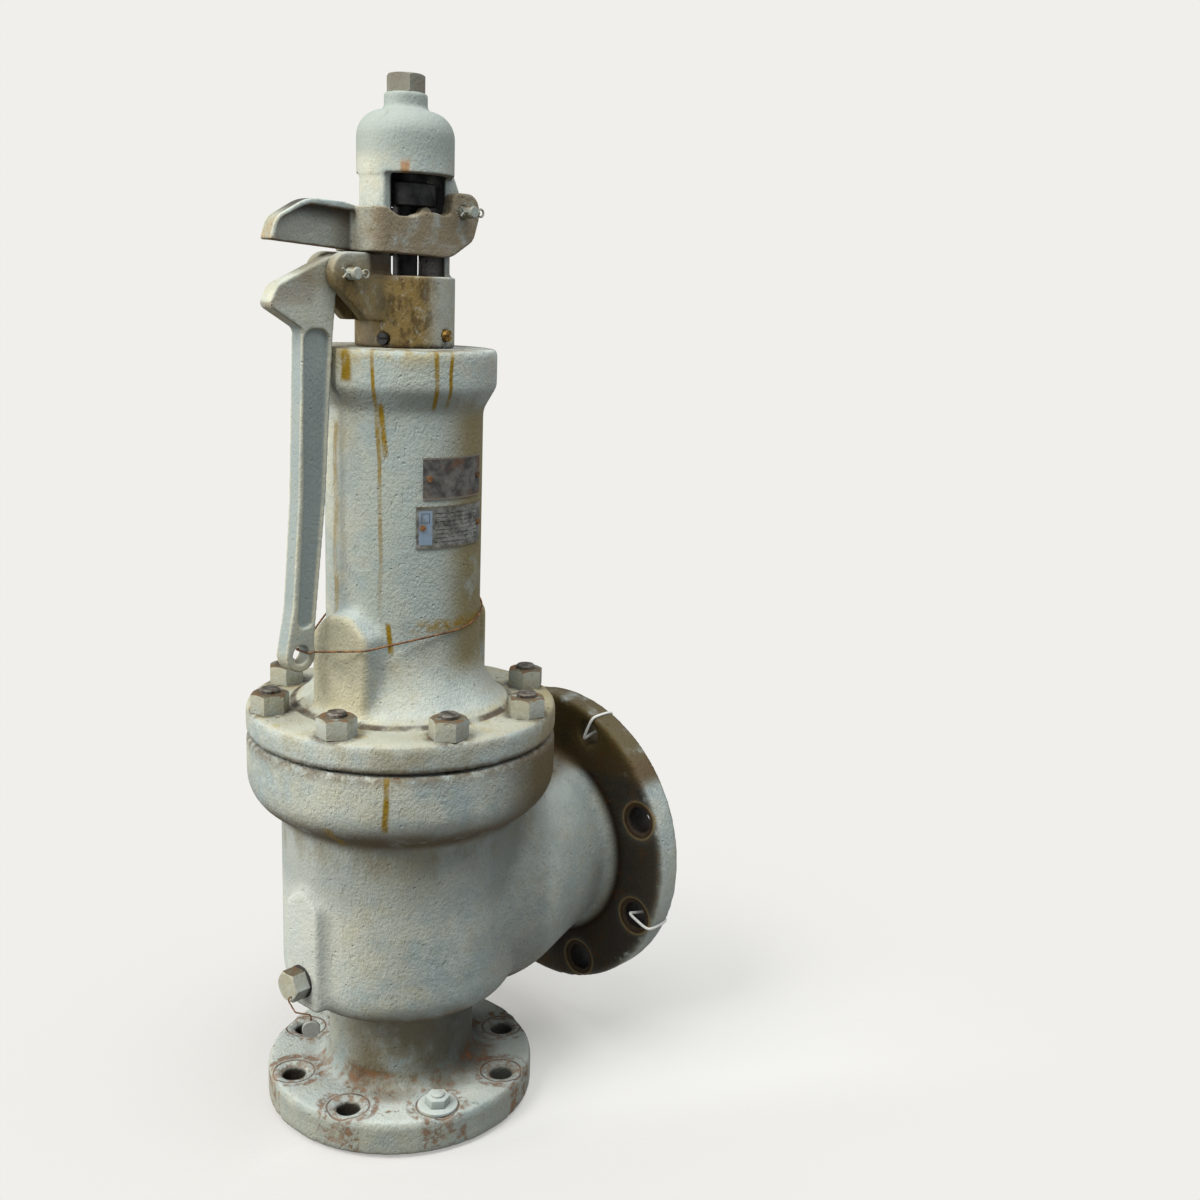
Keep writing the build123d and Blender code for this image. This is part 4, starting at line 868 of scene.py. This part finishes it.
def cap_marks(finish):
    """Stains of the cap, an olive and brown base and a patch over the window; painted shade in a
    nook and inside.
    """
    paint = bpy.context.scene.valve_paint
    x, z = finish.x, finish.z
    finish.stain(finish.rise(z, 0.775, 0.79) * 0.85, DOME_GREY)
    base = finish.rise(z, 0.716, 0.690)
    left = finish.rise(finish.rightward(), 0.030, 0.012)
    mottled = finish.rise(finish.noise(150, 5, 0.72, (1, 1, 0.7), 21.0), 0.20, 0.47)
    finish.stain(base * mottled * (0.22 + left * 0.7), CAP_OLIVE)
    deep = finish.rise(finish.noise(115, 5, 0.7, (1, 1, 0.6), 31.0), 0.46, 0.60)
    finish.stain(base * deep * left * 0.75, CAP_BROWN)
    foot = finish.rise(z, 0.6475, 0.643)
    finish.stain(foot * finish.specks(0.3, 0.6) * 0.9, paint.rust_dark)
    finish.stain(finish.streak(-131, 0.0055, 0.779, 0.768, 0.0, 4.0) * 0.85, CAP_PATCH)
    lip = finish.band(z, 0.7695, 0.7715, 0.0008) * finish.rise(abs(finish.y), 0.024, 0.027)
    finish.stain(lip * finish.specks(0.25, 0.5) * 0.8, paint.underside)
    ears = finish.rise(x, -0.030, -0.040) * finish.rise(z, 0.722, 0.714)
    finish.stain(ears * finish.patches(0.3, 0.6) * 0.6, paint.grime)
    # Painted shade: the nook behind the ears, under the lever, is darkened.
    shaded_nook = finish.rise(x, -0.018, -0.030) * finish.rise(x, -0.052, -0.046)
    finish.stain(shaded_nook * finish.band(z, 0.694, 0.716, 0.003) * 0.75, CAP_NOOK_SHADE)
    # Painted shade: the inside of the cap is painted near black.
    inside = finish.rise(finish.reach(), CAP_BORE + 0.001, CAP_BORE - 0.001)
    finish.stain(inside * finish.rise(z, 0.797, 0.793) * 0.97, CAP_INSIDE_SHADE)


def lever_marks(finish):
    """Stains of the lifting lever: brown cheeks and a rusty edge; painted shade on the web and a
    shadow line under the rim.
    """
    x = finish.x
    cheeks = finish.rise(x, -0.064, -0.045)
    brown = finish.rise(finish.noise(70, 5, 0.65, shift=2.2), 0.22, 0.55)
    finish.stain(cheeks * brown * 0.8, LEVER_BROWN)
    below = finish.rise(finish.facing_z, -0.2, -0.8)
    finish.corrode(below * finish.specks(0.3, 0.6) * 0.7)
    web = finish.rise(abs(finish.y), LEVER_WEB + 0.0005, LEVER_WEB - 0.0005)
    web = web * finish.rise(x, -0.055, -0.058)
    # Painted shade: the web, recessed under the rim, is darkened.
    finish.stain(web * 0.55, LEVER_WEB_SHADE)
    under_rim = web * finish.rise(finish.z + x * 0.12, 0.7175, 0.731)
    finish.stain(under_rim * 0.85, LEVER_SHADOW)
    # Painted shade: the web darkens further towards its root at the fork.
    finish.stain(web * finish.rise(x, -0.082, -0.058) * 0.6, LEVER_ROOT_SHADE)
    tip = finish.rise(x, -0.118, -0.128)
    finish.stain(tip * finish.specks(0.4, 0.6) * 0.45, LEVER_TIP)


def drop_marks(finish):
    """Stains of the drop lever: a darker groove, a nose rusty underneath and a brown pin end."""
    paint = bpy.context.scene.valve_paint
    z = finish.z
    groove = finish.rise(abs(finish.y), LEVER_WEB + 0.0005, LEVER_WEB - 0.0005)
    finish.stain(0.22, paint.film)
    finish.stain(groove * finish.rise(z, 0.662, 0.655) * 0.75, GROOVE_GREY)
    nose = finish.rise(z, 0.668, 0.676) * finish.rise(finish.x, -0.085, -0.098)
    under = finish.rise(finish.facing_z, 0.25, -0.3)
    finish.corrode(nose * under * finish.specks(0.25, 0.5) * 0.85)
    pin = finish.rise(z, 0.678, 0.692) * finish.patches(0.3, 0.6)
    finish.stain(pin * 0.55, paint.grime)
    eye = finish.rise(z, 0.428, 0.412) * finish.patches(0.35, 0.6)
    finish.stain(eye * 0.4, paint.film)


class VALVE_OT_castings(bpy.types.Operator):
    """Makes the body, bonnet and cap as painted castings"""

    bl_idname = "valve.castings"
    bl_label = "Castings"

    def execute(self, context):
        grid = context.scene.valve_casting
        body = cast("valve_body", grid.body_grid)
        coat(body, painted("body_paint", body_marks, worn=0.8))
        bonnet = cast("bonnet", grid.body_grid)
        coat(bonnet, painted("bonnet_paint", bonnet_marks, worn=0.7))
        cap = cast("cap", grid.fine_grid)
        coat(cap, painted("cap_paint", cap_marks, grain=0.0010, worn=0.4))
        return {"FINISHED"}


class VALVE_OT_levers(bpy.types.Operator):
    """Makes the two levers as painted castings"""

    bl_idname = "valve.levers"
    bl_label = "Levers"

    def execute(self, context):
        voxel = context.scene.valve_casting.fine_grid * LEVER_GRID_SHARE
        lift = cast("lifting_lever", voxel)
        coat(lift, painted("lifting_lever_paint", lever_marks, grain=0.0016, worn=0.8))
        drop = cast("drop_lever", voxel)
        coat(drop, painted("drop_lever_paint", drop_marks, grain=0.0012, worn=0.3))
        return {"FINISHED"}


class VALVE_OT_bolting(bpy.types.Operator):
    """Finishes the nuts, studs, screws and lever pins"""

    bl_idname = "valve.bolting"
    bl_label = "Bolting"

    def worn_nuts(self):
        """The bonnet nuts with their edges rounded by wear."""
        nuts = copied("bonnet_nuts", "bonnet_nuts_painted")
        bevel = nuts.modifiers.new("worn", "BEVEL")
        bevel.width = 0.0009
        bevel.segments = 3
        bevel.limit_method = "ANGLE"
        bevel.angle_limit = math.radians(25)
        apply_all(nuts)
        bpy.ops.object.shade_smooth_by_angle(angle=math.radians(40))
        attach(nuts, "valve")
        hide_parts("bonnet_nuts")
        return nuts

    def execute(self, context):
        nuts = self.worn_nuts()
        coat(nuts, painted("nut_paint", bolt_marks, grain=0.0009, dirt=1.2, worn=1.0))
        fastener = painted("fastener_paint", bolt_marks, grain=0.0006, dirt=1.3, worn=0.9)
        cap_bolt = painted("cap_bolt_paint", cap_bolt_marks, grain=0.0006, dirt=1.3, worn=0.9)
        coat_nodes(cap_bolt, "cap_bolt")
        coat_nodes(
            fastener,
            "ring_pin",
            "lifting_lever_pin",
            "lifting_lever_split_pin",
            "drop_lever_pin",
            "drop_lever_split_pin",
        )
        stud_end = metal("stud_ends", STUD_GREY, STUD_DARK, 0.5, 150, 0.6, STUD_RUST)
        coat_nodes(stud_end, "bonnet_studs")
        oiled = metal("oiled_steel", OILED_GREY, OILED_BLACK, 0.42, 90, 0.7)
        coat_nodes(
            oiled,
            "cap_set_screw_side",
            "release_nut",
            "release_locknut",
            "spindle",
            "adjusting_screw",
            "adjusting_screw_locknut",
            "lower_spring_washer",
            "upper_spring_washer",
        )
        brass = metal("brass", BRASS_BRIGHT, BRASS_DULL, 0.4, 160, 0.9, BRASS_TARNISH)
        coat_nodes(brass, "cap_set_screw_front")
        return {"FINISHED"}


class VALVE_OT_inner(bpy.types.Operator):
    """Finishes the pieces inside the valve"""

    bl_idname = "valve.inner"
    bl_label = "Inner pieces"

    def execute(self, context):
        steel = metal("turned_steel", TURNED_BRIGHT, TURNED_DULL, 0.3, 45, 0.9)
        coat_nodes(
            steel,
            "nozzle",
            "adjusting_ring",
            "disc",
            "disc_holder",
            "disc_retainer",
            "guide",
        )
        coat_nodes(metal("spring_coat", SPRING_GREY, SPRING_DARK, 0.5, 50, 0.2), "spring")
        sheet = speckled("gasket_sheet", 420, SHEET_DARK, SHEET_PALE, 0.8, 0.0002)
        coat_nodes(sheet, "guide_gasket", "bonnet_gasket", "ring_pin_gasket")
        return {"FINISHED"}


class VALVE_OT_plates(bpy.types.Operator):
    """Finishes the two plates, their rivets, the wires and the seal"""

    bl_idname = "valve.plates"
    bl_label = "Plates and wires"

    def lower_face(self):
        """A worn plate with a blue panel, an empty frame in it and rows of broken print."""
        plate = Finish("lower_plate_face")
        across = plate.x.maths("ARCTAN2", plate.y, plate.x) * BONNET_RADIUS
        along = across - math.radians(LOWER_PLATE_START) * BONNET_RADIUS
        up = plate.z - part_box("lower_plate")[0].z
        wear = plate.noise(120, 5, 0.7)
        plate.tone = plate.mix(plate.rise(wear, 0.3, 0.75), PLATE_DULL, PLATE_BRIGHT)
        panel = plate.band(along, 0.002, 0.0125, 0.0003) * plate.band(up, 0.003, 0.0295, 0.0003)
        plate.stain(panel * 0.85, PANEL_BLUE)
        box = plate.band(along, 0.004, 0.0105, 0.0002) * plate.band(up, 0.020, 0.0275, 0.0002)
        hollow = plate.band(along, 0.0045, 0.0100, 0.0002) * plate.band(up, 0.0205, 0.0270, 0.0002)
        plate.stain((box - hollow) * 0.9, FRAME_BLUE)
        rows = plate.rise(plate.z.maths("PINGPONG", up, 0.0016), 0.0011, 0.0014)
        broken = plate.rise(plate.noise(300, 2, 0.5, (1, 1, 4), 3.0), 0.44, 0.5)
        field = plate.band(along, 0.0150, 0.0620, 0.0005) * plate.band(up, 0.004, 0.0285, 0.0004)
        lines = rows * broken * field
        plate.stain(lines * 0.9, PLATE_PRINT)
        dirt = plate.rise(plate.noise(60, 5, 0.7, shift=6.0), 0.5, 0.7)
        plate.stain(dirt * 0.6, PLATE_DIRT)
        edge = 1 - plate.band(up, 0.0012, 0.0314, 0.0004)
        plate.stain(edge * 0.5, PLATE_EDGE)
        plate.set(Base_Color=plate.tone, Roughness=0.38 + wear * 0.25, Metallic=0.55)
        plate.bump(lines * 0.2 + wear * 0.3, 0.0002)
        return plate.material

    def upper_face(self):
        """A plate worn blank, with rusty clouds."""
        plate = Finish("upper_plate_face")
        wear = plate.noise(90, 5, 0.7)
        cloud = plate.noise(40, 4, 0.6, shift=8.0)
        plate.tone = plate.mix(plate.rise(wear, 0.35, 0.7), BLANK_DARK, BLANK_PALE)
        plate.stain(plate.rise(cloud, 0.5, 0.65) * 0.8, BLANK_RUST)
        up = plate.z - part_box("upper_plate")[0].z
        rim = 1 - plate.band(up, 0.0012, 0.0309, 0.0004)
        plate.stain(rim * 0.6, BLANK_EDGE)
        plate.set(Base_Color=plate.tone, Roughness=0.5 + wear * 0.2, Metallic=0.35)
        plate.bump(wear + cloud * 0.5, 0.0004)
        return plate.material

    def execute(self, context):
        coat_nodes(self.lower_face(), "lower_plate")
        coat_nodes(self.upper_face(), "upper_plate")
        rusty = metal("rusty_steel", WIRE_BROWN, WIRE_DARK, 0.6, 200, 0.3, WIRE_BLACK)
        coat_nodes(rusty, "plate_rivets", "tie_wire", "tie_wire_eye_loop", "ring_pin_seal_wire")
        seal = speckled("seal_face", 330, SEAL_DARK, SEAL_PALE, 0.6, 0.0005)
        coat_nodes(seal, "ring_pin_seal")
        return {"FINISHED"}


class VALVE_OT_transit_bolt(bpy.types.Operator):
    """Adds the short bolt and washer left in one inlet flange hole"""

    bl_idname = "valve.transit_bolt"
    bl_label = "Flange bolt"

    def cylinder(self, context, foot, height, sides, radius, depth, turn=0.0, edge=None):
        """A cylinder centred at a height over the foot; edge is its bevel width and segments."""
        centre = (foot[0], foot[1], foot[2] + height)
        bpy.ops.mesh.primitive_cylinder_add(
            vertices=sides, radius=radius, depth=depth, location=centre
        )
        made = context.active_object
        if turn:
            bpy.ops.transform.rotate(value=turn, orient_axis="Z", center_override=centre)
        if edge:
            bpy.ops.object.mode_set(mode="EDIT")
            bpy.ops.mesh.bevel(offset=edge[0], segments=edge[1], affect="EDGES")
            bpy.ops.object.mode_set(mode="OBJECT")
        return made

    def execute(self, context):
        angle = math.radians(TRANSIT_BOLT_ANGLE)
        foot = (
            INLET_BOLT_CIRCLE * math.cos(angle),
            INLET_BOLT_CIRCLE * math.sin(angle),
            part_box("nozzle")[0].z + INLET_FLANGE_TOP,
        )
        deselect()
        washer = self.cylinder(context, foot, 0.00125, 48, 0.0165, 0.0025, edge=(0.0005, 2))
        head = self.cylinder(
            context, foot, 0.00625, 6, 0.0105, 0.0075, math.radians(12), edge=(0.0008, 3)
        )
        stub = self.cylinder(context, foot, 0.00675, 32, 0.0055, 0.0105, edge=(0.0008, 2))
        shank = self.cylinder(context, foot, -0.013, 32, 0.0060, 0.026)
        deselect()
        for piece in (washer, stub, shank, head):
            piece.select_set(True)
        context.view_layer.objects.active = head
        bpy.ops.object.join()
        bolt = context.active_object
        bolt.name = "transit_bolt"
        bpy.ops.object.transform_apply(location=True, rotation=True, scale=True)
        bpy.ops.object.shade_smooth_by_angle(angle=math.radians(35))
        coat(bolt, painted("transit_bolt_paint", grain=0.0003, dirt=0.6, worn=0.4))
        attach(bolt, "valve")
        return {"FINISHED"}


class VALVE_OT_hole_ties(bpy.types.Operator):
    """Adds the white ties looped through two outlet flange holes"""

    bl_idname = "valve.hole_ties"
    bl_label = "Hole ties"

    def loop(self, context, index, outward):
        """A closed tie over the rim of the outlet flange and back through a bolt hole."""
        back, front = OUTLET_FLANGE_BACK, OUTLET_FLANGE_FRONT
        route = [
            (back - 0.0015, 0.1155),
            (back - 0.0016, 0.127),
            (back - 0.0008, 0.1390),
            (back + 0.005, 0.1408),
            (front - 0.006, 0.1408),
            (front + 0.0002, 0.1385),
            (front + 0.0003, 0.131),
            (front - 0.003, 0.1240),
            (back + 0.004, 0.1180),
        ]
        line = bpy.data.curves.new(f"tie_{index}", "CURVE")
        line.dimensions = "3D"
        line.bevel_depth = 0.0013
        line.bevel_resolution = 3
        line.resolution_u = 8
        spline = line.splines.new("NURBS")
        spline.points.add(len(route) - 1)
        for point, (x, reach) in zip(spline.points, route):
            spot = Vector((x, 0, OUTLET_HEIGHT)) + outward * reach
            point.co = (*spot, 1)
        spline.order_u = 3
        spline.use_cyclic_u = True
        tie = bpy.data.objects.new(f"flange_tie_{index}", line)
        context.scene.collection.objects.link(tie)
        take(tie)
        bpy.ops.object.convert(target="MESH")
        bpy.ops.object.shade_smooth()
        return context.active_object

    def execute(self, context):
        white = speckled("tie_white", 300, TIE_GREY, TIE_WHITE, 0.55, 0.0002)
        for index, angle in enumerate(TIE_ANGLES):
            turn = math.radians(angle)
            tie = self.loop(context, index, Vector((0, math.cos(turn), math.sin(turn))))
            coat(tie, white)
            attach(tie, "valve")
        return {"FINISHED"}


class VALVE_PT_sidebar(bpy.types.Panel):
    """Lists the steps of the dressing"""

    bl_idname = "VALVE_PT_sidebar"
    bl_label = "Relief valve"
    bl_space_type = "VIEW_3D"
    bl_region_type = "UI"
    bl_category = "Valve"

    def draw(self, context):
        for name in STEPS:
            self.layout.operator("valve." + name)
        for group in ("valve_paint", "valve_casting", "valve_camera", "valve_stage"):
            settings = getattr(context.scene, group)
            for key in settings.bl_rna.properties.keys():
                if key not in ("rna_type", "name"):
                    self.layout.prop(settings, key)


STEPS = (
    "camera",
    "stage",
    "castings",
    "levers",
    "bolting",
    "inner",
    "plates",
    "transit_bolt",
    "hole_ties",
)
CLASSES = (
    ValvePaint,
    ValveCasting,
    ValveCamera,
    ValveStage,
    VALVE_OT_camera,
    VALVE_OT_stage,
    VALVE_OT_castings,
    VALVE_OT_levers,
    VALVE_OT_bolting,
    VALVE_OT_inner,
    VALVE_OT_plates,
    VALVE_OT_transit_bolt,
    VALVE_OT_hole_ties,
    VALVE_PT_sidebar,
)


def register():
    for item in CLASSES:
        bpy.utils.register_class(item)
    bpy.types.Scene.valve_paint = PointerProperty(type=ValvePaint)
    bpy.types.Scene.valve_casting = PointerProperty(type=ValveCasting)
    bpy.types.Scene.valve_camera = PointerProperty(type=ValveCamera)
    bpy.types.Scene.valve_stage = PointerProperty(type=ValveStage)


def unregister():
    del bpy.types.Scene.valve_stage
    del bpy.types.Scene.valve_camera
    del bpy.types.Scene.valve_casting
    del bpy.types.Scene.valve_paint
    for item in reversed(CLASSES):
        bpy.utils.unregister_class(item)


def main():
    register()
    bpy.ops.valve.camera()
    bpy.ops.valve.stage()
    bpy.ops.valve.castings()
    bpy.ops.valve.levers()
    bpy.ops.valve.bolting()
    bpy.ops.valve.inner()
    bpy.ops.valve.plates()
    bpy.ops.valve.transit_bolt()
    bpy.ops.valve.hole_ties()


if __name__ == "__main__":
    main()
